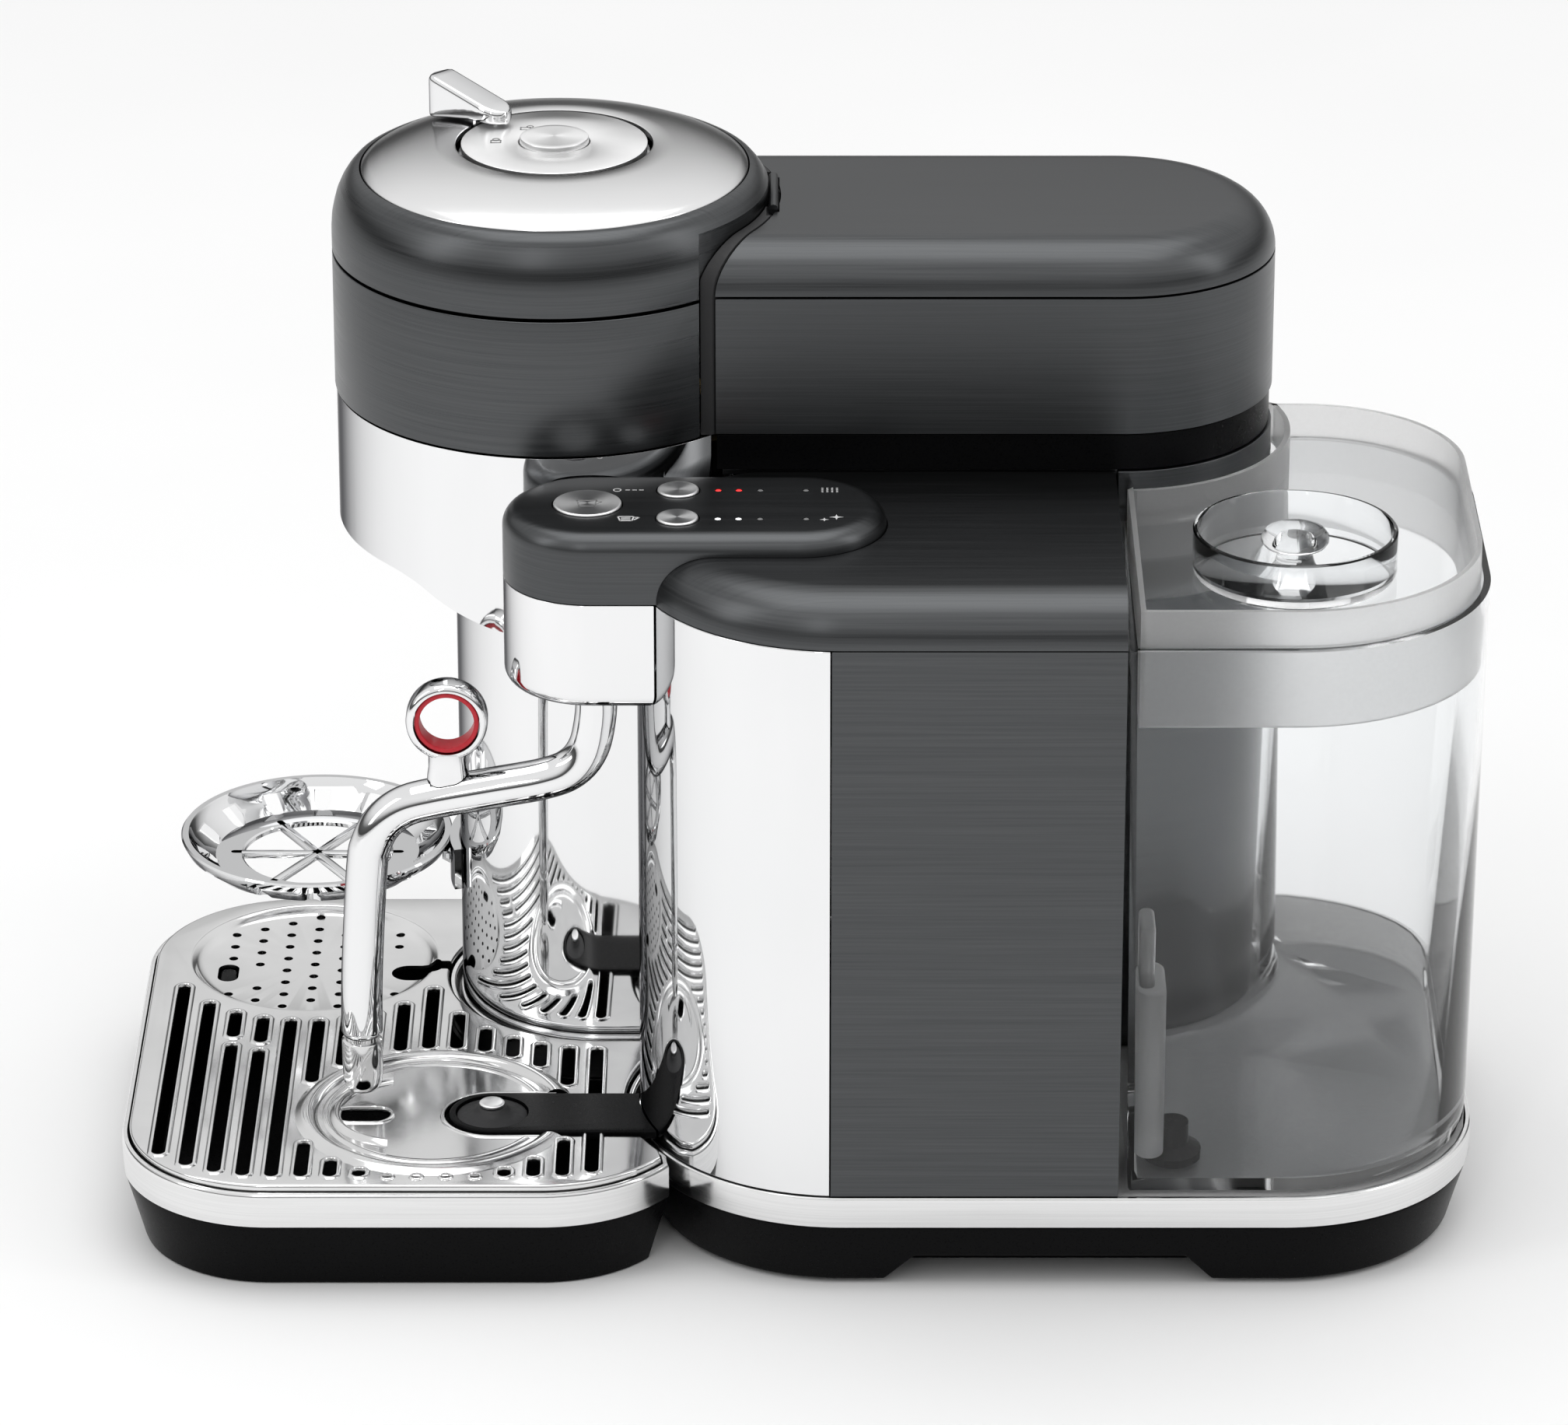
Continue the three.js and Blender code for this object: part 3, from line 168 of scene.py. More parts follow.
def tray_outline():
    side = BODY_R + STEP + DOCK_GAP
    column_r = COLUMN_R + STEP + DOCK_GAP
    near = BASE_NEAR + TRAY_CORNER
    left = TRAY_X + TRAY_CORNER
    d = math.hypot(BODY_X - TRAY_REAR_CORNER, BODY_Y - near)
    along = (TRAY_CORNER ** 2 - side ** 2 + d ** 2) / (2 * d)
    off = math.sqrt(TRAY_CORNER ** 2 - along ** 2)
    ux, uy = (BODY_X - TRAY_REAR_CORNER) / d, (BODY_Y - near) / d
    tip = (TRAY_REAR_CORNER + ux * along + uy * off, near + uy * along - ux * off)
    from_corner = math.degrees(math.atan2(tip[1] - near, tip[0] - TRAY_REAR_CORNER))
    from_body = math.degrees(math.atan2(tip[1] - BODY_Y, tip[0] - BODY_X)) % 360
    return [
        *arc(TRAY_REAR_CORNER, near, TRAY_CORNER, -90, from_corner - TIP_BLUNT),
        *body_front(side, from_body - TIP_BLUNT, far_angle(side, HEAD_Y - column_r)),
        *arc(COLUMN_X, HEAD_Y, column_r, 270, column_angle(column_r, DOCK_X - DOCK_GAP)),
        (DOCK_X - DOCK_GAP, BASE_FAR),
        *arc(left, BASE_FAR - TRAY_CORNER, TRAY_CORNER, 90, 180),
        *arc(left, near, TRAY_CORNER, 180, 270),
    ]


def tank_outline():
    corner = BASE_REAR - TANK_CORNER
    r = ARM_R + 1.6
    far_at = math.degrees(math.asin((TANK_FAR - HEAD_Y) / r))
    near_at = -90 - math.degrees(math.asin((ARM_END - TANK_X) / r))
    return [
        (TANK_X, BODY_NEAR),
        *arc(corner, BODY_NEAR + TANK_CORNER, TANK_CORNER, -90, 0),
        *arc(BASE_REAR - TANK_FAR_CORNER, TANK_FAR - TANK_FAR_CORNER, TANK_FAR_CORNER, 0, 90),
        *arc(ARM_END, HEAD_Y, r, far_at, near_at),
    ]


# ---------- meshes ----------
def new_object(name, bm, smooth=30.0):
    bmesh.ops.remove_doubles(bm, verts=bm.verts, dist=1e-7)
    bmesh.ops.recalc_face_normals(bm, faces=bm.faces)
    mesh = bpy.data.meshes.new(name)
    bm.to_mesh(mesh)
    bm.free()
    made = bpy.data.objects.new(name, mesh)
    bpy.context.scene.collection.objects.link(made)
    shade(made, smooth)
    return made


def shade(obj, angle=30.0):
    obj.data.shade_smooth()
    obj.data.set_sharp_from_angle(angle=math.radians(angle))


def rings_mesh(name, rings, closed=False, smooth=30.0):
    """Stacked rings of points (x, y, z) in mm; caps at both ends, or closed into a tube wall."""
    bm = bmesh.new()
    rows = [[bm.verts.new([v * MM for v in p]) for p in ring] for ring in rings]
    pairs = list(zip(rows, rows[1:] + rows[:1])) if closed else list(zip(rows, rows[1:]))
    for low, high in pairs:
        for i in range(len(low)):
            j = (i + 1) % len(low)
            bm.faces.new((low[i], low[j], high[j], high[i]))
    if not closed:
        bm.faces.new(list(reversed(rows[0])))
        bm.faces.new(rows[-1])
    return new_object(name, bm, smooth)


def level(points, z):
    """An outline as a ring at height z."""
    return [(x, y, z) for x, y in points]


def prism(name, points, z0, z1):
    return rings_mesh(name, [level(points, z0), level(points, z1)])


def wall(name, outline, sections, smooth=30.0):
    """A closed wall along an outline: sections are (inset, z) in order around its cross-section."""
    return rings_mesh(name, [level(inset(outline, d), z) for d, z in sections], True, smooth)


def round_block(name, outline, z0, z1, low, high, steps=5):
    """An upright block with its lower and upper edges rounded by low and high."""
    turns = [math.radians(90 * i / steps) for i in range(steps + 1)]
    rings = [level(inset(outline, low * (1 - math.sin(t))), z0 + low * (1 - math.cos(t)))
             for t in (turns if low else [0])]
    rings += [level(inset(outline, high * (1 - math.cos(t))), z1 - high + high * math.sin(t))
              for t in (turns if high else [0])]
    return rings_mesh(name, rings)


def lathe(name, profile, centre=(0, 0, 0), steps=96, smooth=35.0):
    """A profile of (r, z) turned about +Z; open ends on the axis close by themselves."""
    bm = bmesh.new()
    rows = []
    for r, z in profile:
        if r < 1e-6:
            rows.append([bm.verts.new((centre[0] * MM, centre[1] * MM, (centre[2] + z) * MM))])
        else:
            turn = [2 * math.pi * i / steps for i in range(steps)]
            rows.append([bm.verts.new(((centre[0] + r * math.cos(t)) * MM,
                                       (centre[1] + r * math.sin(t)) * MM,
                                       (centre[2] + z) * MM)) for t in turn])
    pairs = list(zip(rows, rows[1:]))
    if len(rows[0]) > 1:
        pairs.append((rows[-1], rows[0]))
    for a, b in pairs:
        for i in range(steps):
            j = (i + 1) % steps
            face = [a[i % len(a)], a[j % len(a)], b[j % len(b)], b[i % len(b)]]
            face = [v for k, v in enumerate(face) if v is not face[k - 1]]
            if len(face) > 2:
                bm.faces.new(face)
    return new_object(name, bm, smooth)


def softened(points, r, steps=4):
    """Rounds the corners of a closed profile by r."""
    made = []
    for i, p in enumerate(points):
        p, before, after = Vector(p), Vector(points[i - 1]), Vector(points[(i + 1) % len(points)])
        d = min(r, (before - p).length * 0.45, (after - p).length * 0.45)
        a, b = p + (before - p).normalized() * d, p + (after - p).normalized() * d
        for k in range(steps + 1):
            t = k / steps
            made.append(tuple(a * (1 - t) ** 2 + p * 2 * t * (1 - t) + b * t * t))
    return made


def axis_profile(points, r, steps=4):
    """Rounds a profile's inner corners only, where its ends sit on the axis."""
    inner = softened(points, r, steps)
    return [points[0], *inner[steps + 1:-(steps + 1)], points[-1]]


def carve(obj, *tools, op="DIFFERENCE", smooth=30.0, keep=False):
    """Cuts obj with each tool, or joins or intersects them; the tools are removed unless keep is set."""
    for tool in tools:
        modifier = obj.modifiers.new("cut", "BOOLEAN")
        modifier.operation = op
        modifier.solver = "EXACT"
        modifier.object = tool
    depsgraph = bpy.context.evaluated_depsgraph_get()
    mesh = bpy.data.meshes.new_from_object(obj.evaluated_get(depsgraph))
    obj.modifiers.clear()
    obj.data = mesh
    if not keep:
        for tool in tools:
            bpy.data.objects.remove(tool)
    shade(obj, smooth)
    return obj


def merged(name, *objs, smooth=30.0):
    """One piece from several, which are removed."""
    bm = bmesh.new()
    for o in objs:
        bm.from_mesh(o.data)
        bpy.data.objects.remove(o)
    return new_object(name, bm, smooth)


def bevelled(obj, width, segments=2, angle=32.0):
    modifier = obj.modifiers.new("edge", "BEVEL")
    modifier.width = width * MM
    modifier.segments = segments
    modifier.limit_method = "ANGLE"
    modifier.angle_limit = math.radians(angle)
    modifier.harden_normals = True
    return obj


def tube(name, points, r, sides=24, cap=0.6):
    """A round bar along points: Catmull-Rom, parallel frames, slightly rounded ends."""
    pts = [Vector(p) for p in points]
    line = []
    for i in range(len(pts) - 1):
        p0, p1, p2 = pts[max(i - 1, 0)], pts[i], pts[i + 1]
        p3 = pts[min(i + 2, len(pts) - 1)]
        count = max(3, int((p2 - p1).length / 1.5))
        for k in range(count):
            t = k / count
            line.append(0.5 * (2 * p1 + (p2 - p0) * t + (2 * p0 - 5 * p1 + 4 * p2 - p3) * t * t
                               + (3 * p1 - p0 - 3 * p2 + p3) * t ** 3))
    line.append(pts[-1])
    normal = (line[1] - line[0]).orthogonal().normalized()
    rings = []
    for i, p in enumerate(line):
        tangent = (line[min(i + 1, len(line) - 1)] - line[max(i - 1, 0)]).normalized()
        normal = (normal - tangent * normal.dot(tangent)).normalized()
        side = tangent.cross(normal)
        ring = [normal * x + side * y for x, y in circle(0, 0, 1, sides)]
        end_r = r - cap if i in (0, len(line) - 1) else r
        rings.append([p + v * end_r for v in ring])
        if i == 0:
            rings.append([p + tangent * cap + v * r for v in ring])
    return rings_mesh(name, rings, smooth=50)


# ---------- materials ----------
def add_node(made, kind, **values):
    node = made.node_tree.nodes.new(kind)
    for key, value in values.items():
        if hasattr(node, key):
            setattr(node, key, value)
        else:
            node.inputs[key.replace("_", " ")].default_value = value
    return node


def link(made, a, b):
    made.node_tree.links.new(a, b)


def streaks(made, along, across):
    """Brushed lines: fine across the height of a wall, and across the width of a top."""
    coords = add_node(made, "ShaderNodeTexCoord")
    out = []
    for scale in ((along, along, across), (along, across, along)):
        mapping = add_node(made, "ShaderNodeMapping")
        mapping.inputs["Scale"].default_value = scale
        link(made, coords.outputs["Object"], mapping.inputs["Vector"])
        noise = add_node(made, "ShaderNodeTexNoise", Scale=1.0, Detail=3.0, Roughness=0.6)
        link(made, mapping.outputs["Vector"], noise.inputs["Vector"])
        out.append(noise.outputs["Fac"])
    geometry = add_node(made, "ShaderNodeNewGeometry")
    split = add_node(made, "ShaderNodeSeparateXYZ")
    link(made, geometry.outputs["Normal"], split.inputs["Vector"])
    size = add_node(made, "ShaderNodeMath", operation="ABSOLUTE")
    link(made, split.outputs["Z"], size.inputs[0])
    ramp = add_node(made, "ShaderNodeMapRange")
    ramp.inputs["From Min"].default_value = 0.5
    ramp.inputs["From Max"].default_value = 0.95
    link(made, size.outputs[0], ramp.inputs["Value"])
    mix = add_node(made, "ShaderNodeMix", data_type="FLOAT")
    link(made, ramp.outputs["Result"], mix.inputs["Factor"])
    link(made, out[0], mix.inputs["A"])
    link(made, out[1], mix.inputs["B"])
    return mix.outputs["Result"]


def plain_noise(made, scale):
    coords = add_node(made, "ShaderNodeTexCoord")
    noise = add_node(made, "ShaderNodeTexNoise", Scale=scale, Detail=3.0)
    link(made, coords.outputs["Object"], noise.inputs["Vector"])
    return noise.outputs["Fac"]


LOOK = {}
NOISE_LOW, NOISE_HIGH = 0.3, 0.7      # the part of the noise that the colours and roughness spread over


def finish(name, colors, rough, metallic=0.0, noise=900, brushed=None, spun=False, bump=0.0, depth=0.0001,
           **sockets):
    """A Principled material whose colour, roughness and bump follow one noise."""
    made = LOOK[name] = bpy.data.materials.new(name)
    made.use_nodes = True
    shader = made.node_tree.nodes["Principled BSDF"]
    shader.inputs["Metallic"].default_value = metallic
    for key, value in sockets.items():
        shader.inputs[key.replace("_", " ")].default_value = value
    if spun:
        tangent = add_node(made, "ShaderNodeTangent", direction_type="RADIAL", axis="Z")
        link(made, tangent.outputs["Tangent"], shader.inputs["Tangent"])
    source = streaks(made, *brushed) if brushed else plain_noise(made, noise)
    ramp = add_node(made, "ShaderNodeValToRGB")
    for element, at, color in zip(ramp.color_ramp.elements, (NOISE_LOW, NOISE_HIGH), colors):
        element.position = at
        element.color = (*color, 1)
    link(made, source, ramp.inputs["Fac"])
    link(made, ramp.outputs["Color"], shader.inputs["Base Color"])
    remap = add_node(made, "ShaderNodeMapRange", From_Min=NOISE_LOW, From_Max=NOISE_HIGH, To_Min=rough[0],
                     To_Max=rough[1])
    link(made, source, remap.inputs["Value"])
    link(made, remap.outputs["Result"], shader.inputs["Roughness"])
    if bump:
        node = add_node(made, "ShaderNodeBump", Strength=bump, Distance=depth)
        link(made, source, node.inputs["Height"])
        link(made, node.outputs["Normal"], shader.inputs["Normal"])
    return made


def grey(*values):
    return [(v, v, v) for v in values]


def make_finishes():
    fine, soft = (14, 1600), (12, 1500)
    finish("dark_steel", [(0.076, 0.079, 0.082), (0.1, 0.103, 0.106)], (0.3, 0.38), 1.0, brushed=fine,
           bump=0.05, depth=0.00004)
    finish("drum_steel", [(0.078, 0.081, 0.084), (0.102, 0.105, 0.108)], (0.26, 0.34), 1.0, brushed=fine,
           spun=True, bump=0.05, depth=0.00004, Anisotropic=0.6)
    # chrome and satin_chrome: their dark Specular Tint is painted shade, darkening the reflections at
    # grazing edges in place of dark surroundings
    finish("chrome", [(0.84, 0.845, 0.85), (0.88, 0.88, 0.885)], (0.025, 0.055), 1.0, 9,
           Specular_Tint=(0.12, 0.12, 0.125, 1))
    finish("satin_chrome", [(0.87, 0.87, 0.875), (0.9, 0.9, 0.9)], (0.17, 0.23), 1.0, 14,
           Specular_Tint=(0.3, 0.3, 0.3, 1))
    finish("band_steel", grey(0.74, 0.84), (0.13, 0.2), 1.0, brushed=soft, bump=0.02, depth=0.00003)
    finish("polished_steel", grey(0.7, 0.78), (0.09, 0.15), 1.0, 40)
    finish("spun_steel", grey(0.87, 0.92), (0.33, 0.38), 1.0, 60, spun=True, Anisotropic=0.75)
    finish("plain_steel", [(0.46, 0.46, 0.47), (0.56, 0.56, 0.57)], (0.25, 0.36), 1.0, 60, bump=0.03)
    finish("black_plastic", [(0.0025, 0.0025, 0.0028), (0.004, 0.004, 0.0043)], (0.26, 0.34), noise=1500,
           bump=0.03, depth=0.00004, Specular_IOR_Level=0.06)
    finish("grey_plastic", [(0.28, 0.28, 0.28), (0.33, 0.33, 0.33)], (0.4, 0.5), bump=0.03)
    finish("black_rubber", [(0.012, 0.012, 0.013), (0.02, 0.02, 0.021)], (0.5, 0.68), bump=0.08,
           depth=0.00006)
    finish("clear_plastic", [(0.95, 0.96, 0.965), (0.98, 0.985, 0.99)], (0.02, 0.05), noise=12, bump=0.02,
           depth=0.0003, Transmission_Weight=1.0, IOR=1.3)
    finish("frosted_plastic", grey(0.9, 0.95), (0.3, 0.42), bump=0.05, depth=0.00005,
           Transmission_Weight=0.85, IOR=1.3)
    finish("red_silicone", [(0.46, 0.006, 0.016), (0.56, 0.01, 0.026)], (0.36, 0.48), noise=800, bump=0.03,
           depth=0.00004)
    finish("circuit_board", [(0.015, 0.1, 0.03), (0.03, 0.15, 0.05)], (0.3, 0.5), noise=200)
    finish("brass", [(0.5, 0.34, 0.1), (0.6, 0.42, 0.14)], (0.22, 0.34), 1.0, 200)
    finish("icon_print", grey(0.56, 0.68), (0.45, 0.55))
    finish("icon_grey", grey(0.17, 0.24), (0.45, 0.55))
    for name, color, power in (("light_off", (0.25, 0.25, 0.25), 0.0), ("light_white", (1, 1, 1), 1.6),
                               ("light_red", (1, 0.03, 0.03), 1.6)):
        dim = tuple(0.8 * v for v in color)
        finish(name, [dim, color], (0.2, 0.3), Emission_Strength=power, Emission_Color=(*color, 1))
    finish("floor_paint", grey(0.85, 0.87), (0.65, 0.75), noise=3)


make_finishes()

# a slot name for each finish, where a piece doesn't name its own
SLOTS = {"drum_steel": "dark_steel", "satin_chrome": "chrome", "band_steel": "chrome",
         "spun_steel": "brushed_steel", "plain_steel": "polished_steel", "light_off": "light_window"}


def place(obj, body, look, *nodes, slot=None):
    """Gives a piece its finish, the body it rides on and the CAD nodes it stands in for."""
    looks = look if isinstance(look, (list, tuple)) else [look]
    index = [p.material_index for p in obj.data.polygons] if len(looks) > 1 else None
    obj.data.materials.clear()
    for name in looks:
        obj.data.materials.append(LOOK[name])
    if index:
        obj.data.polygons.foreach_set("material_index", index)
    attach(obj, body)
    if nodes:
        obj.name = nodes[0] + "_look"
        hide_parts(*nodes)
        slot = slot or SLOTS.get(looks[0], looks[0])
    return obj


# ---------- cutters shared by several pieces ----------
def head_rod(r, z0, z1):
    """A cylinder on the brew head's axis."""
    return prism("tool", circle(HEAD_X, HEAD_Y, r, 144), z0, z1)


def rear_trim(z0, z1):
    """The strip of the head behind TRIM_X outside TRIM_R, taken off so that the arm can dock."""
    block = prism("tool", box2(TRIM_X, HEAD_Y - 60, 20, HEAD_Y + 60), z0, z1)
    return carve(block, head_rod(TRIM_R, z0 - 1, z1 + 1))


def tool_prism(points, z0, z1):
    return prism("tool", points, z0, z1)


def body_rod(z0, z1):
    return tool_prism(circle(BODY_X, BODY_Y, BODY_R + GAP, 180), z0, z1)


def housing_outline():
    return pill(POD_X0, POD_Y, HOUSING_X, POD_Y, POD_R, 2.5)


def hinge_rod(r, half):
    """A bar across the lid's hinge."""
    section = circle(HINGE_X, HINGE_Z, r, 24)
    return rings_mesh("tool", [[(x, HEAD_Y + side, z) for x, z in section] for side in (-half, half)])


def arm_full(grow):
    """The whole arm, running into the head."""
    outline = inset(arm_outline(ARM_R, -60), -grow)
    return round_block("arm", outline, DRUM_Z, ARM_TOP + grow, 0, ARM_FILLET, 12)


# ---------- base ----------
def build_base():
    outline = base_outline()
    plinth = rings_mesh("plinth", [
        level(inset(outline, d), z) for d, z in
        ((8.2, 1.2), (6.6, 1.7), (6.0, 2.9), (3.3, 12.5), (0.8, 20.8), (0.6, PLINTH_Z - GAP))])
    notch = ((24, -1), (131, -1), (120, 11), (36, 11))
    across = (BASE_NEAR - 7, BASE_NEAR + 21)
    carve(plinth, rings_mesh("tool", [[(x, y, z) for x, z in notch] for y in across]))
    place(bevelled(plinth, 0.5), "machine", "black_plastic", "base_plinth")
    sections = [(1.5, PLINTH_Z), (0.5, PLINTH_Z), (0.12, PLINTH_Z + 0.15), (0, PLINTH_Z + 0.6),
                (0, BAND_Z - 1.0), (0.14, BAND_Z - 0.45), (0.5, BAND_Z - 0.1), (1.0, BAND_Z), (1.5, BAND_Z)]
    place(wall("base_trim", outline, sections), "machine", "band_steel", "base_band")


# ---------- milk-side body ----------
def build_body():
    z0, z1 = BAND_Z + GAP, SEAM_Z - GAP
    seam = 180 + math.degrees(math.acos((BODY_X - PANEL_X) / BODY_R))
    start = far_angle(BODY_R, HEAD_Y - COLUMN_R - GAP)
    outer = arc(BODY_X, BODY_Y, BODY_R, start, seam, 2)
    inner = arc(BODY_X, BODY_Y, BODY_R - SHEET, seam, start + 1, 2)
    place(bevelled(prism("body_wrap", outer + inner, z0, z1), 0.3), "machine", "chrome", "front_wrap")

    # the cover is rounded as a larger block, then cut square where it meets the tank and the arm
    grown = [*arc(BODY_X, BODY_Y, BODY_R, 130, 270), (BODY_REAR + 40, BODY_NEAR),
             (BODY_REAR + 40, BODY_FAR + 40), (COLUMN_REAR, BODY_FAR + 40)]
    cover = round_block("cover", grown, SEAM_Z, COVER_Z, 0, COVER_FILLET, 14)
    rim = COVER_FILLET + 0.5
    hollow = [*arc(BODY_X, BODY_Y, BODY_R - rim, 138, 270), (BODY_REAR - 8, BODY_NEAR + rim),
              (BODY_REAR - 8, BODY_FAR - 10)]
    tools = [
        tool_prism(box2(BODY_REAR, -200, 300, 200), SEAM_Z - 1, COVER_Z + 1),
        tool_prism(box2(-200, BODY_FAR, 300, 200), SEAM_Z - 1, COVER_Z + 1),
        tool_prism(hollow, SEAM_Z - 1, COVER_Z - 2.5),
        tool_prism(inset(pill(POD_X0, POD_Y, POD_X1, POD_Y, POD_R, 3), -GAP), SEAM_Z - 1, COVER_Z + 1),
        head_rod(HEAD_R + GAP, SEAM_Z - 1, COVER_Z + 1),
    ]
    for tool in tools:
        carve(cover, tool)
    place(bevelled(cover, 0.35), "machine", "dark_steel", "top_cover")


# ---------- columns ----------
def build_columns():
    z0 = BAND_Z + GAP
    outer = [(COLUMN_REAR, HEAD_Y + COLUMN_R), *arc(COLUMN_X, HEAD_Y, COLUMN_R, 90, 270, 2),
             (COLUMN_REAR, HEAD_Y - COLUMN_R)]
    inner = [(COLUMN_REAR, HEAD_Y - COLUMN_R + SHEET), *arc(COLUMN_X, HEAD_Y, COLUMN_R - SHEET, 270, 90, 2),
             (COLUMN_REAR, HEAD_Y + COLUMN_R - SHEET)]
    low = prism("column", outer + inner, z0, COLUMN_TOP - 6.4)
    top = prism("collar", outer + inner, COLUMN_TOP - 6, COLUMN_TOP)
    place(bevelled(merged("column_shell", low, top), 0.25), "machine", "chrome", "brew_column")

    front = COLUMN_REAR + GAP
    column = prism("rear", arm_outline(ARM_R, front), z0, COVER_Z)
    near_side = box2(front - 1, HEAD_Y - ARM_R - 1, BODY_REAR + 0.8, BODY_FAR + 3)
    carve(column,
          tool_prism(arm_outline(ARM_R - SHEET, front - 1), z0 - 1, COVER_Z - 2),
          tool_prism(near_side, z0 - 1, COVER_Z + 1),
          head_rod(HEAD_R + GAP, COLUMN_TOP - 1, COVER_Z + 1))
    place(bevelled(column, 0.3), "machine", "dark_steel", "rear_column")
    skirt = prism("skirt", arm_outline(ARM_R - STEP, front - 6), COVER_Z + GAP, DRUM_Z - GAP)
    carve(skirt, head_rod(HEAD_R + GAP, COVER_Z, DRUM_Z))
    place(bevelled(skirt, 0.3), "machine", "black_plastic", "arm_skirt")


# ---------- control pod ----------
# each button's place along the pod, its offset from the middle and its radius
KEYS = {"coffee_button": (-64.4, 0.0, 10.5), "temperature_button": (-36.8, 11.3, 6.4),
        "froth_button": (-36.8, -11.3, 6.4)}
LIGHT_X = (-24.5, -18.2, -11.6, 2.4)
LIGHT_DY = 11.6


def build_pod():
    outline = pill(POD_X0, POD_Y, POD_X1, POD_Y, POD_R, 2.5)
    pod = round_block("pod", outline, SEAM_Z, POD_Z, 0, POD_FILLET, 12)
    tools = [tool_prism(inset(outline, 2.5), SEAM_Z - 1, POD_Z - 4),
             head_rod(HEAD_R + GAP, SEAM_Z - 1, POD_Z + 1)]
    tools += [tool_prism(circle(x, POD_Y + dy, r + 0.5, 64), POD_Z - 9, POD_Z + 1)
              for x, dy, r in KEYS.values()]
    tools += [tool_prism(circle(x, POD_Y + s * LIGHT_DY, 1.05, 20), POD_Z - 9, POD_Z + 1)
              for s in (-1, 1) for x in LIGHT_X]
    carve(pod, *tools)
    place(bevelled(pod, 0.25), "machine", "dark_steel", "control_pod")

    for node, body in (("coffee_button", "coffee_key"), ("temperature_button", "temperature_key"),
                       ("froth_button", "froth_key")):
        x, dy, r = KEYS[node]
        foot = POD_Z - 9
        profile = [(0, foot), (r + 1.6, foot), (r + 1.6, foot + 1.8), (r, foot + 1.8), (r, POD_Z + 0.25),
                   (r - 0.2, POD_Z + 0.6), (r - 0.6, POD_Z + 0.75), (r - 1.4, POD_Z + 0.7), (0, POD_Z + 0.5)]
        key = lathe(node + "_cap", axis_profile(profile, 0.15, 2), (x, POD_Y + dy, 0), 72)
        place(key, body, "spun_steel", node)

    for node, s, lit in (("lights_near", -1, "light_white"), ("lights_far", 1, "light_red")):
        y = POD_Y + s * LIGHT_DY
        guide = box2(LIGHT_X[0] - 2.5, y - 2, LIGHT_X[-1] + 2.5, y + 2)
        bar = round_block("bar", guide, POD_Z - 7, POD_Z - 4.4, 0.4, 0.4, 2)
        window = [(0, POD_Z - 6), (0.95, POD_Z - 6), (0.95, POD_Z - 0.25), (0.7, POD_Z - 0.05),
                  (0, POD_Z + 0.05)]
        lamps = [lathe("lamp", window, (x, y, 0), 20) for x in LIGHT_X]
        for i, lamp in enumerate(lamps):
            for p in lamp.data.polygons:
                p.material_index = 1 if i < 2 else 0
        place(merged(node + "_lens", bar, *lamps), "machine", ["light_off", lit], node)


ICON_H, ICON_LINE = 0.1, 0.5


def flat_ring(cx, cy, r, t, z, height=ICON_H):
    return wall("icon", circle(cx, cy, r, 40), [(0, z), (0, z + height), (t, z + height), (t, z)])


def stroke(x, y, z, points, width=ICON_LINE, closed=False, height=ICON_H):
    """Flat lines from point to point, the points given from (x, y)."""
    ends = points[1:] + points[:1] if closed else points[1:]
    return [prism("icon", pill(x + ax, y + ay, x + bx, y + by, width / 2, 45), z, z + height)
            for (ax, ay), (bx, by) in zip(points, ends)]


def star(cx, cy, r, z):
    points = [(cx + (r if k % 2 == 0 else r * 0.28) * math.cos(k * math.pi / 4),
               cy + (r if k % 2 == 0 else r * 0.28) * math.sin(k * math.pi / 4)) for k in range(8)]
    return prism("icon", points, z, z + ICON_H)


def build_icons():
    z = POD_Z - 0.04
    far, near = POD_Y + LIGHT_DY, POD_Y - LIGHT_DY
    parts = [flat_ring(-55.5, far, 1.3, 0.35, z)]
    for k in range(3):
        parts += stroke(-52.8 + 2.1 * k, far, z, [(0, 0), (1, 0)])
        parts += stroke(-53.8, near - 0.9 + 0.8 * k, z, [(0, 0), (2.6, 0)], 0.35)
    parts += stroke(-54.2, near, z, [(0, -1.7), (3.6, -1.7), (4.2, 1.7), (-0.7, 1.7)], closed=True)
    parts += stroke(-54.2, near, z, [(4.4, 1.0), (5.8, 0.9), (4.3, -0.9)])
    parts += [flat_ring(7.4 + 1.5 * i, far - 1.4 + 1.4 * j, 0.35, 0.3, z)
              for i in range(4) for j in range(3)]
    parts += [star(11.6, near + 1.2, 2.1, z), star(7.9, near - 0.8, 1.4, z)]
    place(merged("panel_icons", *parts), "machine", "icon_print")

    x, z = KEYS["coffee_button"][0], POD_Z + 0.5
    cup = stroke(x, POD_Y, z, [(-2.6, -2.8), (2.2, -2.8), (2.8, 1.8), (-3.2, 1.8)], closed=True)
    cup += stroke(x, POD_Y, z, [(2.9, 0.9), (4.3, 0.5), (2.6, -1.4)])
    place(merged("coffee_icon", *cup), "coffee_key", "icon_grey")

    z = DISC_Z + 0.1
    for x, y, lean in ((HEAD_X - 18.2, HEAD_Y, 0.0), (HEAD_X - 9.3, HEAD_Y + 12, 1.4)):
        case = [(-1.5, -1.4), (1.5, -1.4), (1.5, 0.8), (-1.5, 0.8)]
        lock = stroke(x, y, z, case, 0.45, closed=True, height=0.2)
        lock.append(flat_ring(x + lean, y + 1.5, 1.2, 0.4, z, 0.2))
        place(merged("lock_icon", *lock), "lid", "icon_grey")


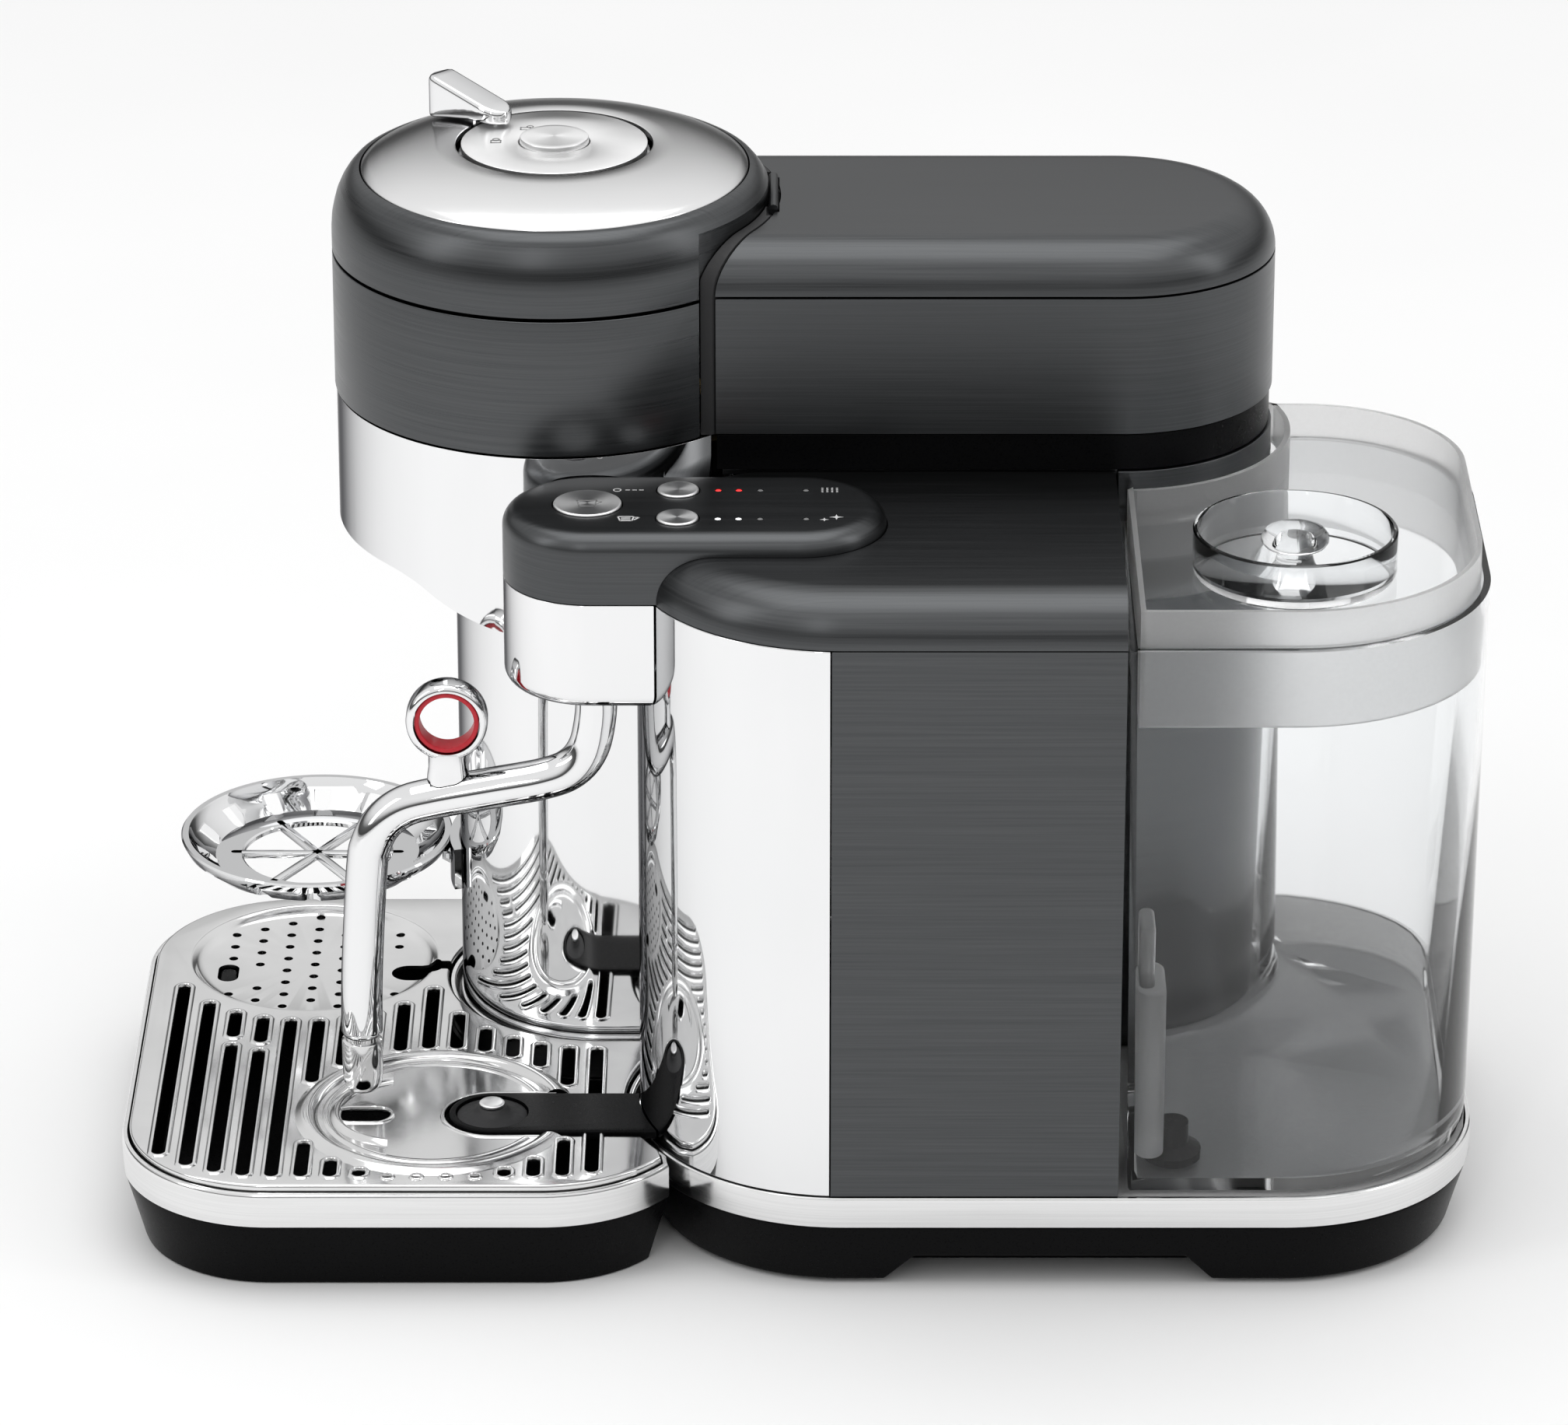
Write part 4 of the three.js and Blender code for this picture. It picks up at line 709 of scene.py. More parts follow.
def build_housing():
    outline = housing_outline()
    z1 = SEAM_Z - GAP
    housing = round_block("housing", outline, HOUSING_Z, z1, 5, 0, 8)
    carve(housing,
          tool_prism(inset(outline, 2), HOUSING_Z + 5.5, z1 + 1),
          tool_prism(inset(outline, 6), HOUSING_Z + 2, z1),
          body_rod(100, 260),
          tool_prism(pill(WAND_X, POD_Y, WAND_X + 0.01, POD_Y, 9, 6), 100, 260))
    place(bevelled(housing, 0.3), "machine", "chrome", "steam_housing")


# ---------- brew head ----------
def build_head():
    chamber_z = DRUM_Z + 6
    profile = [(HEAD_R, DRUM_Z + GAP), (HEAD_R, LID_Z - GAP), (46, LID_Z - GAP), (46, chamber_z + 3),
               (14.6, chamber_z + 3), (14.6, chamber_z), (48.5, chamber_z), (48.5, LID_Z - 3.5),
               (HEAD_R - 3, LID_Z - 3.5), (HEAD_R - 3, DRUM_Z + GAP)]
    drum = lathe("drum", softened(profile, 0.5, 3), (HEAD_X, HEAD_Y, 0), 144)
    carve(drum, rear_trim(DRUM_Z - 1, LID_Z + 1))
    place(drum, "machine", "drum_steel", "head_drum")

    r = HEAD_R - 0.5

    def floor(drop):
        """The bowl's underside seen from the near side, raised by drop."""
        low = [(-160, 206), (-146, 200), (-122, 198.5), (-108, 190), (-92, COLUMN_TOP + GAP)]
        soft = softened([(-190, 300), (-190, 215), *low, (10, COLUMN_TOP + GAP), (10, 300)], 9, 6)
        return [(x, z + drop) for x, z in soft if -161 < x < 0]

    def side(drop):
        line = floor(drop)
        points = [(-160, 250), *line, (10, COLUMN_TOP + GAP + drop), (10, 250)]
        return rings_mesh("tool", [[(x, HEAD_Y + y, z) for x, z in points] for y in (-80, 80)], smooth=30)

    bowl = head_rod(r, 180, DRUM_Z - GAP)
    carve(bowl, side(0), op="INTERSECT")
    inside = head_rod(r - 2.2, 180, DRUM_Z + 1)
    carve(inside, side(2.4), op="INTERSECT")
    carve(bowl, inside,
          body_rod(100, SEAM_Z + GAP),
          tool_prism(inset(housing_outline(), -GAP), 100, SEAM_Z + GAP),
          tool_prism(arm_outline(ARM_R + GAP, COLUMN_REAR), 100, DRUM_Z + 1),
          tool_prism(circle(SPOUT_X, HEAD_Y, 6, 48), 150, 240),
          tool_prism(circle(COLUMN_X, HEAD_Y, 20, 48), 150, 230), smooth=40)
    place(bevelled(bowl, 0.3, angle=50), "machine", "chrome", "head_bowl")
    nozzle = softened([(3.2, 190), (5.0, 190), (5.6, 206), (3.2, 206)], 0.5, 3)
    spout = lathe("spout", nozzle, (SPOUT_X, HEAD_Y, 0), 48)
    place(spout, "machine", "black_plastic", "coffee_spout")

    gasket = arm_full(0.3)
    ring = carve(head_rod(TRIM_R + GAP + FRAME_T, DRUM_Z - 1, 320), head_rod(TRIM_R + GAP, DRUM_Z - 2, 321))
    carve(gasket, ring, tool_prism(box2(TRIM_X + GAP, -20, 30, 110), 200, 330), op="INTERSECT")
    carve(gasket, tool_prism(box2(-60, HEAD_Y - 38, 60, HEAD_Y + 38), 200, 291), hinge_rod(2.2, 20))
    place(gasket, "machine", "black_rubber", "frame_gasket")


def build_lid():
    z0, top = LID_Z + GAP, SHOULDER_Z
    outer = [(HEAD_R, z0 + 0.5), (HEAD_R, top - 19), (HEAD_R - 0.3, top - 15), (HEAD_R - 0.9, top - 12),
             (HEAD_R - 1.8, top - 8.7), (HEAD_R - 3.2, top - 5.5), (HEAD_R - 4.7, top - 3.1),
             (DOME_R + 2.6, top - 1.1), (DOME_R + 1.3, top - 0.35), (DOME_R, top)]
    profile = outer + [(DOME_R, top - 4), (HEAD_R - 5.5, top - 12), (HEAD_R - 4, z0 + 2), (44, z0 + 2),
                       (44, z0), (HEAD_R - 0.5, z0)]
    shoulder = lathe("shoulder", profile, (HEAD_X, HEAD_Y, 0), 144)
    carve(shoulder, rear_trim(z0 - 1, top + 2))
    carve(shoulder, hinge_rod(2, 16))
    place(shoulder, "lid", "drum_steel", "lid_shoulder")

    r0 = DOME_R - GAP
    curve = [(r0, top - 3.4), (r0, top - 0.2), (r0 - 0.35, top + 0.3), (58, top + 1.55), (54, top + 3.2),
             (49, top + 4.7), (44, top + 5.8), (37.5, top + 6.75), (NECK_R + 0.5, top + 7.2),
             (NECK_R, top + 7.0), (NECK_R, top + 5.2), (54, top + 1.2), (56, top - 3.4)]
    place(lathe("dome", curve, (HEAD_X, HEAD_Y, 0), 144), "lid", "satin_chrome", "lid_dome")
    disc = [(11.3, DISC_Z - 2.2), (DISC_R, DISC_Z - 2.2), (DISC_R, DISC_Z - 0.2), (DISC_R - 0.3, DISC_Z),
            (11.6, DISC_Z + 0.3), (11.3, DISC_Z + 0.1)]
    place(lathe("disc", disc, (HEAD_X, HEAD_Y, 0), 120), "lid", "spun_steel", "lid_disc")
    cap = [(0, DISC_Z - 6.4), (17, DISC_Z - 6.4), (17, DISC_Z - 2.6), (10.8, DISC_Z - 2.6),
           (10.8, DISC_Z + 1.5), (10.6, DISC_Z + 1.85), (10.2, DISC_Z + 2), (9.0, DISC_Z + 1.9),
           (0, DISC_Z + 2.1)]
    place(lathe("cap", cap, (HEAD_X, HEAD_Y, 0), 96), "lid", "spun_steel", "lid_cap")


def between(pairs, x):
    """The value at x on a line through (x, value) pairs."""
    for (x0, v0), (x1, v1) in zip(pairs, pairs[1:]):
        if x <= x1:
            return v0 + (v1 - v0) * (x - x0) / (x1 - x0)
    return pairs[-1][1]


def build_lever():
    under = DISC_Z + 1.0
    low = [(20, under + 0.2), (31.6, under + 0.2), (40, under - 1.2), (51, under - 3.2)]
    high = [(20, under + 4.2), (23, under + 5.4), (48, under + 11.3), (51, under + 10.4)]
    half = LEVER_HALF
    rings = []
    for r in (20.1, 20.5, 21.2, 22.2, 23.6, 25.5, 28, 32, 36, 40, 44, 46, 47.5, 48.8, 49.8, 50.5, 50.9):
        width = half
        if r < 25.5:
            width = math.sqrt(max(0.6, half ** 2 - (25.5 - r) ** 2))
        if r > 47:
            width = half * math.sqrt(max(0.02, 1 - ((r - 47) / 4.02) ** 2))
        z0, z1 = between(low, r), between(high, r)
        round_r = min(1.7, width * 0.8, (z1 - z0) * 0.45)
        ring = []
        for cy, cz, start in ((width - round_r, z1 - round_r, 0), (-width + round_r, z1 - round_r, 90),
                              (-width + round_r, z0 + round_r, 180), (width - round_r, z0 + round_r, 270)):
            ring += [(r, y, z) for y, z in arc(cy, cz, round_r, start, start + 90, 15)]
        rings.append(ring)
    bar = rings_mesh("bar", rings, smooth=50)
    neck = prism("neck", arc(0, 0, 30.4, -9, 9, 2) + arc(0, 0, 29.6, 9, -9, 2), DISC_Z - 5, under + 1.5)
    hub = lathe("hub", [(22, DISC_Z - 5.4), (29.9, DISC_Z - 5.4), (29.9, DISC_Z - 3.3), (22, DISC_Z - 3.3)])
    piece = merged("lever_wedge", bar, neck, hub, smooth=40)
    turn = math.radians(LEVER_ANGLE)
    c, s = math.cos(turn), math.sin(turn)
    for v in piece.data.vertices:
        x, y = v.co.x, v.co.y
        v.co.x, v.co.y = HEAD_X * MM + c * x - s * y, HEAD_Y * MM + s * x + c * y
    place(piece, "lever", "chrome", "lock_lever")


# ---------- used-capsule container ----------
def build_container():
    def trimmed(obj, *more):
        """Cuts off the end that the head's frame takes up."""
        carve(obj, head_rod(TRIM_R + 2 * GAP + FRAME_T, 200, 330),
              tool_prism(box2(-80, -30, TRIM_X + FRAME_T + 0.7, 130), 200, 330), *more)
        return bevelled(obj, 0.35)

    inner = inset(arm_outline(ARM_R, -60), 2)
    shell = carve(arm_full(0), tool_prism(box2(-60, -20, 200, 120), DRUM_Z - 1, LID_Z - GAP), op="INTERSECT")
    shell = trimmed(shell, tool_prism(inner, DRUM_Z + 2, LID_Z + 1))
    place(shell, "container", "dark_steel", "container_shell")
    cover = carve(arm_full(0), tool_prism(box2(-60, -20, 200, 120), LID_Z + GAP, 400), op="INTERSECT")
    hollow = round_block("tool", inner, LID_Z - 1, ARM_TOP - 2, 0, ARM_FILLET - 2, 6)
    place(trimmed(cover, hollow, hinge_rod(2, 16)), "container", "dark_steel", "container_cover")


# ---------- steam wand ----------
def build_wand():
    ball_r, ball_z = 8.4, 186
    angles = [math.radians(a) for a in range(0, 181, 10)]
    ball = [(ball_r * math.sin(a), ball_z - ball_r * math.cos(a)) for a in angles]
    ball[0], ball[-1] = (0, ball[0][1]), (0, ball[-1][1])
    place(lathe("joint_ball", ball, (WAND_X, POD_Y, 0), 64, 60), "wand", "plain_steel", "wand_joint")
    line = [(WAND_X, 177.1), (WAND_X, 168.3), (WAND_X - 2.3, 157.1), (WAND_X - 7.6, 150), (-79, 146.3),
            (-95.75, 143.05), (-112.5, 139.8), (-122.2, 137), (-128.8, 131.8), (-132.6, 124.8),
            (-134.3, 115.8), (-136.5, 81), (WAND_TIP_X, WAND_TIP_Z + 20)]
    route = [(x, POD_Y, z) for x, z in line]
    pipe = tube("pipe", route, WAND_R, 40)
    place(pipe, "wand", "chrome", "wand_pipe")
    tip = [(0, 0), (2.2, 0), (3.6, 0.3), (4.8, 1.0), (5.6, 2.2), (6.1, 4), (6.35, 7), (6.4, 17.4),
           (6.3, 17.9), (5.7, 18.3), (5.7, 19.6), (0, 19.6)]
    place(lathe("tip", tip, (WAND_TIP_X, POD_Y, WAND_TIP_Z), 64), "wand", "polished_steel", "wand_tip")

    edge = [(2.3, 0), (1.5, 0), (0.7, 0.4), (0.15, 1.2), (0, 2.2)]
    band = lathe("band", [(RING_R - d, h - RING_HALF) for d, h in edge]
                 + [(RING_R - d, RING_HALF - h) for d, h in reversed(edge)])
    half = RING_HALF - 0.6
    sleeve = [(RING_R - 4.2, -half), (RING_R - 2.7, -half), (RING_R - 2.7, half), (RING_R - 4.2, half)]
    grip = lathe("grip", softened(sleeve, 0.5, 3))
    for piece in (band, grip):
        for v in piece.data.vertices:
            x, y, z = v.co
            v.co = (RING_X * MM + x, POD_Y * MM + z, RING_Z * MM + y)
        piece.data.flip_normals()
    foot = pill(RING_X - 2, POD_Y, RING_X + 2, POD_Y, 4, 8)
    flare = [(-0.9, 141), (-0.4, 148), (0, 150.5), (0, 154), (-0.7, 156)]
    stem = rings_mesh("stem", [level(inset(foot, d), z) for d, z in flare])
    carve(stem, tube("tool", route, WAND_R + GAP, 40))
    place(merged("ring_band", band, stem), "wand", "chrome", "ring_handle")
    place(grip, "wand", "red_silicone", "ring_grip")


# ---------- cup support ----------
def build_cup():
    dish = [(30, 0), (34, 0), (36.2, 1.1), (39, 3.4), (42.4, 6), (CUP_R - 0.2, 8.8), (CUP_R, 9.4),
            (CUP_R - 0.5, 10), (41.6, 10), (41.2, 9.5), (39.6, 7.2), (36.5, 5), (33, 2), (24.6, 2),
            (24, 1.6), (24, 0.4), (24.6, 0)]
    ring = lathe("ring", dish, (CUP_X, CUP_Y, CUP_Z), 120)
    windows = []
    for i in range(14):
        a = math.radians(13 + 360 / 14 * i)
        points = [(CUP_X + x * math.cos(a) - y * math.sin(a), CUP_Y + x * math.sin(a) + y * math.cos(a))
                  for x, y in pill(35.4, 0, 40.8, 0, 3.0, 30)]
        windows.append(tool_prism(points, CUP_Z - 1, CUP_TOP - 3.2))
    carve(ring, *windows)
    ribs = []
    for a in (0, 60, 120):
        c, s = 27 * math.cos(math.radians(a)), 27 * math.sin(math.radians(a))
        bar = pill(CUP_X - c, CUP_Y - s, CUP_X + c, CUP_Y + s, 1.4, 30)
        ribs.append(round_block("rib", bar, CUP_Z, CUP_Z + 2, 0.3, 0.3, 2))
    saddle_r = COLUMN_R + 0.5
    saddle = arc(COLUMN_X, HEAD_Y, saddle_r + 3, 164, 196, 2) + arc(COLUMN_X, HEAD_Y, saddle_r, 196, 164, 2)
    clip = prism("saddle", saddle, CUP_Z - 2, CUP_TOP + 2)
    reach_x = COLUMN_X - saddle_r - 1.5
    reach = prism("reach", [(CUP_X + CUP_R - 3, CUP_Y - 10), (reach_x, HEAD_Y - 8), (reach_x, HEAD_Y + 8),
                            (CUP_X + CUP_R - 3, CUP_Y + 4)], CUP_TOP - 6, CUP_TOP - 2)
    piece = merged("cup_ring", ring, *ribs, clip, reach)
    place(bevelled(piece, 0.25, angle=40), "cup_rest", "chrome", "cup_support")


# ---------- drip tray ----------
def chord(r, off):
    """Half a circle's width at a distance from its centre, 0 outside it."""
    return math.sqrt(max(0, r * r - off * off))


def slot_list():
    """The grid's slots as (x, first y, last y), and the centres of the short ones beside the jug rest."""
    slots, short = [], []
    for x in range(SLOT_FIRST, SLOT_LAST + 1, SLOT_PITCH):
        corner = max(0, TRAY_X + TRAY_CORNER - x, x - TRAY_REAR_CORNER)
        low = BASE_NEAR + 7.7 + TRAY_CORNER - chord(TRAY_CORNER, corner)
        over_dish = DISH_Y - chord(DISH_R + 4, x - DISH_X) if abs(x - DISH_X) < DISH_R + 3 else 40
        column_r = COLUMN_R + STEP + DOCK_GAP + 6
        over_column = HEAD_Y - chord(column_r, x - COLUMN_X) if abs(x - COLUMN_X) < column_r else 40
        high = min(over_dish, over_column) - 2
        span = chord(REST_R + 3.2, x - REST_X)
        pieces = [(low, REST_Y - span), (REST_Y + span, high)] if span else [(low, high)]
        if x in SPLIT_SLOTS:
            pieces = [(low, high - 24), (high - 20, high)]
        slots += [(x, a + SLOT_R, b - SLOT_R) for a, b in pieces if b - a > 2 * SLOT_R + 1]
        if span and REST_Y - span - low <= 2 * SLOT_R + 1:
            short.append((x, low + 0.4))
    return slots, short


def dish_holes():
    holes = []
    for i in range(-4, 5):
        for j in range(-4, 5):
            x, y = DISH_X + i * SLOT_PITCH, DISH_Y + (j + math.fmod(i, 2) / 2) * SLOT_PITCH
            in_dish = math.hypot(x - DISH_X, y - DISH_Y) < DISH_R - 4.5
            near_float = math.hypot(x - FLOAT_X, y - FLOAT_Y) < 11
            near_finger = math.hypot(x - FINGER_X0, y - FINGER_Y) < 12
            if in_dish and not near_float and not near_finger:
                holes.append((x, y))
    return holes


def finger_tools():
    return [tool_prism(pill(FINGER_X0, FINGER_Y, FINGER_X1, FINGER_Y, FINGER_R, 10), 10, 60),
            tool_prism(box2(FINGER_X1 - 1, FINGER_Y - 3, -100, FINGER_Y + 3), 10, 60)]


def float_bar(r, step):
    return pill(FLOAT_X, FLOAT_Y - FLOAT_HALF, FLOAT_X, FLOAT_Y + FLOAT_HALF, r, step)


def eye(r):
    return pill(EYE_X0, SENSOR_Y, EYE_X1, SENSOR_Y, r, 10)


def build_tray():
    outline = tray_outline()
    top = PLINTH_Z - GAP
    sections = [(8.4, 0), (6.4, 0.5), (6.0, 1.6), (3.2, 12), (0.8, 20.6), (0.6, top), (3.0, top), (5.6, 12),
                (8.4, 2.4)]
    shell = rings_mesh("shell", [level(inset(outline, d), z) for d, z in sections])
    place(shell, "drip_tray", "black_plastic", "tray_base")
    rim = [(1.6, PLINTH_Z), (0.5, PLINTH_Z), (0.1, PLINTH_Z + 0.2), (0, PLINTH_Z + 0.7), (0, RIM_Z - 1.2),
           (0.12, RIM_Z - 0.6), (0.5, RIM_Z - 0.12), (1.0, RIM_Z), (1.6, RIM_Z)]
    place(wall("tray_trim", outline, rim), "drip_tray", "band_steel", "tray_band")
    build_grid(clean_inset(outline, 2.4))
    bar = round_block("float_bar", float_bar(FLOAT_R, 10), 12, GRID_Z - 4, 0.5, 0.8, 4)
    place(bar, "float", "black_plastic", "tray_float")


def build_grid(edge):
    z0, z1 = GRID_Z - GRID_T, GRID_Z
    sides = ((0.0, z0 - 3), (0.0, z1 - 0.9), (0.12, z1 - 0.4), (0.5, z1 - 0.08), (1.0, z1))
    plate = rings_mesh("plate", [level(inset(edge, d), z) for d, z in sides])
    carve(plate, tool_prism(clean_inset(edge, 1.4), z0 - 4, z0))
    slots, short = slot_list()
    sensor_room = pill(SENSOR_X, SENSOR_Y, -20, SENSOR_Y, 15, 6)
    carve(plate, merged("tool", *[tool_prism(pill(x, a, x, b, SLOT_R, 20), z0 - 6, z1 + 2)
                                  for x, a, b in slots]))
    for hole in (circle(DISH_X, DISH_Y, DISH_R - 1.0, 120), sensor_room, eye(EYE_R)):
        carve(plate, tool_prism(hole, 10, 60))
    for tool in finger_tools():
        carve(plate, tool)
    parts = [plate]

    # raised lips around the openings
    lip = [(-1.5, z1 - 0.05), (-1.1, z1 + 0.35), (-0.6, z1 + 0.62), (-0.1, z1 + 0.55), (0.15, z1 + 0.2),
           (0.2, z1 - 1.2), (-0.6, z1 - 1.3), (-1.4, z1 - 0.5)]
    parts += [wall("lip", pill(x, a, x, b, SLOT_R, 15), lip, 50) for x, a, b in slots]
    for x, y in short:
        carve(plate, tool_prism(circle(x, y, 1.5, 24), z0 - 6, z1 + 2))
        parts.append(wall("lip", circle(x, y, 1.5, 32), [(a * 0.7, z) for a, z in lip], 50))
    parts.append(wall("eye_lip", eye(EYE_R), lip, 50))
    sensor_lip = wall("lip", sensor_room, lip, 50)
    parts.append(carve(sensor_lip, tool_prism(box2(REST_X + REST_R - 4, -120, 0, 0), 20, 60), smooth=50))

    parts += [build_dish(z1), *build_rest(z1, sensor_room)]
    place(merged("grid_plate", *parts, smooth=40), "drip_tray", "polished_steel", "drip_grid")


def build_dish(z1):
    """The sunk dish under the coffee spout, with its drain holes."""
    floor = -DISH_DROP
    profile = [(DISH_R + 0.6, -0.1), (DISH_R - 0.6, 0.05), (DISH_R - 1.6, -0.3), (DISH_R - 2.8, -1.6),
               (DISH_R - 4.2, -2.7), (DISH_R - 6.2, floor), (3, floor), (3, floor - 1.2),
               (DISH_R - 6, floor - 1.2), (DISH_R - 3.4, floor - 0.4), (DISH_R - 1.6, -1.6),
               (DISH_R + 0.6, -1.2)]
    dish = lathe("dish", profile, (DISH_X, DISH_Y, z1), 120, 60)
    plug = prism("plug", circle(DISH_X, DISH_Y, 3.4, 24), z1 + floor - 1.2, z1 + floor)
    carve(dish, plug, op="UNION", smooth=60)
    holes = [tool_prism(circle(x, y, 1.5, 16), 20, 60) for x, y in dish_holes()]
    holes += [tool_prism(float_bar(FLOAT_R + 0.7, 12), 20, 60), *finger_tools()]
    for hole in holes:
        carve(dish, hole, smooth=50)
    return dish


def build_rest(z1, sensor_room):
    """The jug rest: an outer ring, a low inner ring and a crescent, open where the sensor's arm comes in."""
    centre = (REST_X, REST_Y, z1)
    rest = lathe("rest", [(REST_R - 5, -0.6), (REST_R - 4.6, 0.2), (REST_R - 3.6, 1.1), (REST_R - 2.2, 1.7),
                          (REST_R - 0.8, 1.75), (REST_R + 0.6, 1.1), (REST_R + 1.8, 0.3),
                          (REST_R + 2.6, -0.1), (REST_R + 1, -0.8)], centre, 120, 60)
    inner = lathe("inner", [(REST_R - 9.5, -0.3), (REST_R - 8.6, 0.35), (REST_R - 7.6, 0.5),
                            (REST_R - 6.6, 0.35), (REST_R - 5.8, -0.3)], centre, 120, 60)
    crescent = lathe("crescent", [(20.4, -0.3), (20.6, 0.3), (21.6, 1.2), (22.6, 1.45), (23.4, 0.9),
                                  (24.4, 0.3), (24.8, -0.3)], (REST_X - 9, REST_Y, z1), 120, 60)
    arm_room = tool_prism(sensor_room, 10, 60)
    carve(rest, arm_room, smooth=60, keep=True)
    carve(inner, arm_room, tool_prism(eye(EYE_R + 1.7), 10, 60), smooth=60)
    carve(crescent, tool_prism(box2(REST_X - 14, -140, 0, 20), 10, 60), smooth=60)
    return rest, inner, crescent


# ---------- milk temperature sensor ----------
def build_sensor():
    z = SENSOR_Z
    strip = pill(SENSOR_X, SENSOR_Y, BODY_X - BODY_R + 30, SENSOR_Y, 13.5, 4)
    arm = round_block("arm", strip, z - 2.4, z + 0.4, 0.4, 0.7, 4)
    carve(arm, body_rod(0, 80), tool_prism(circle(SENSOR_X, SENSOR_Y, SENSOR_R + 0.5, 72), z - 4, z + 2))
    place(arm, "machine", "black_plastic", "sensor_arm")
    centre = (SENSOR_X, SENSOR_Y, z)
    cone = [(0, -1.2), (SENSOR_R, -1.2), (SENSOR_R, -0.5), (10.4, -0.2), (8.0, 0.35), (6.2, 1.0), (5.2, 1.6),
            (4.8, 2.3), (4.4, 2.6), (0, 2.6)]
    place(lathe("cone", cone, centre, 64, 50), "milk_sensor", "black_rubber", "sensor_cone")
    tip = [(0, 3), (4, 3), (4, 3.6), (3.7, 3.9), (3.2, 4), (0, 4)]
    place(lathe("tip_disc", tip, centre, 48), "milk_sensor", "spun_steel", "sensor_tip",
          slot="polished_steel")


# ---------- water tank ----------
def build_tank():
    outline = tank_outline()
    top, floor = SEAM_Z - GAP, TANK_Z + 3
    inner = TANK_DRAFT + TANK_WALL
    sections = [(TANK_DRAFT + 2.0, TANK_Z), (TANK_DRAFT + 0.9, TANK_Z + 0.5),
                (TANK_DRAFT + 0.3, TANK_Z + 1.6), (TANK_DRAFT - 0.1, TANK_Z + 8), (0.3, top - 8),
                (0.0, top - 6), (0.0, top), (TANK_WALL, top), (TANK_WALL, top - 6), (inner, floor + 4),
                (inner + 1.2, floor + 1), (inner + 4, floor)]
    shell = rings_mesh("tank", [level(inset(outline, d), z) for d, z in sections])
    place(shell, "tank", "clear_plastic", "tank_shell")

    lid = round_block("tank_cover", outline, SEAM_Z, TANK_LID, 0, 7, 8)
    carve(lid, round_block("tool", inset(outline, TANK_WALL), SEAM_Z - 1, TANK_LID - 2, 0, 5.5, 8),
          tool_prism(circle(WELL_X, WELL_Y, WELL_R - 1.8, 96), 180, 260))
    rim = TANK_LID - WELL_Z
    well = [(0, 0), (WELL_R - 2, 0), (WELL_R - 0.6, 0.6), (WELL_R, 2), (WELL_R, rim + 0.1),
            (WELL_R - 0.5, rim + 0.6), (WELL_R - 1.3, rim + 0.6), (WELL_R - 1.8, rim),
            (WELL_R - 1.8, 3.4), (WELL_R - 3.2, 2), (0, 2)]
    cup = lathe("cup", well, (WELL_X, WELL_Y, WELL_Z), 96)
    handle = [(0, 1), (7.4, 1.4), (6.2, 3), (5.5, 6), (5.8, 7.6), (7.6, 8.4), (9.6, 9.2), (10.4, 10.6),
              (10.3, 12.2), (9.0, 13.8), (6.5, 14.7), (0, 15)]
    knob = lathe("knob", handle, (WELL_X, WELL_Y, WELL_Z), 72, 60)
    carve(lid, cup, knob, op="UNION", smooth=40)
    place(lid, "tank_cover", "clear_plastic", "tank_lid")
    skirt = inset(outline, TANK_WALL + 0.8)
    band = wall("lid_skirt", skirt, [(0, 190), (0, TANK_LID - 2.5), (1.6, TANK_LID - 2.5), (1.6, 190)])
    place(band, "tank_cover", "frosted_plastic", slot="clear_plastic")
    bracket = round_block("bracket", pill(108.5, -98, 108.5, -84, 4.5, 20), 41, 98, 0.6, 1.5, 3)
    rib = round_block("rib", pill(107, -97, 107, -85, 2.4, 20), 98, 118, 0.3, 1.2, 3)
    place(merged("tank_bracket", bracket, rib), "tank", "frosted_plastic", slot="clear_plastic")


# ---------- rear power inlet ----------
def build_inlet():
    shroud = round_block("shroud", box2(149, 76, 154, 100), 44, 66, 1.2, 1.2, 4)
    carve(shroud, tool_prism(box2(151, 80, 158, 96), 48, 62))
    back = round_block("back", box2(140, 79, 150, 97), 47, 63, 0.8, 0.8, 3)
    place(bevelled(merged("inlet_shell", shroud, back), 0.6), "machine", "black_plastic", "power_inlet")
    pins = [round_block("pin", pill(151.5, y, 153.2, y, 0.7, 30), z - 1.6, z + 1.6, 0.2, 0.2, 2)
            for y, z in ((84, 53), (88, 57.5), (92, 53))]
    place(merged("inlet_pins", *pins), "machine", "plain_steel")


for build in (build_base, build_body, build_columns, build_pod, build_icons, build_housing, build_head,
              build_lid, build_lever, build_container, build_wand, build_cup, build_tray, build_sensor,
              build_tank, build_inlet):
    build()

# ---------- CAD nodes that stay: softened edges and procedural finishes ----------
KEPT = {
    "base_deck": ("grey_plastic", 0.2), "foot_front": ("black_rubber", 0.25),
    "foot_rear": ("black_rubber", 0.25), "side_panel": ("dark_steel", 0.25),
    "panel_board": ("circuit_board", 0), "holder_bearing": ("plain_steel", 0),
    "spin_motor": ("plain_steel", 0.5), "drive_belt": ("black_rubber", 0.2),
    "steam_boiler": ("plain_steel", 1.5), "water_pump": ("black_plastic", 1.0),
    "brew_heater": ("plain_steel", 1.5), "water_pipe": ("clear_plastic", 0),
    "piercing_plate": ("plain_steel", 0.2), "lid_hinge_pin": ("dark_steel", 0.2),
    "capsule_holder": ("plain_steel", 0.2), "holder_pulley": ("black_plastic", 0.2),
    "motor_pulley": ("brass", 0.2), "capsule_bin": ("black_plastic", 0.4),
    "tank_valve": ("black_plastic", 0.5),
}
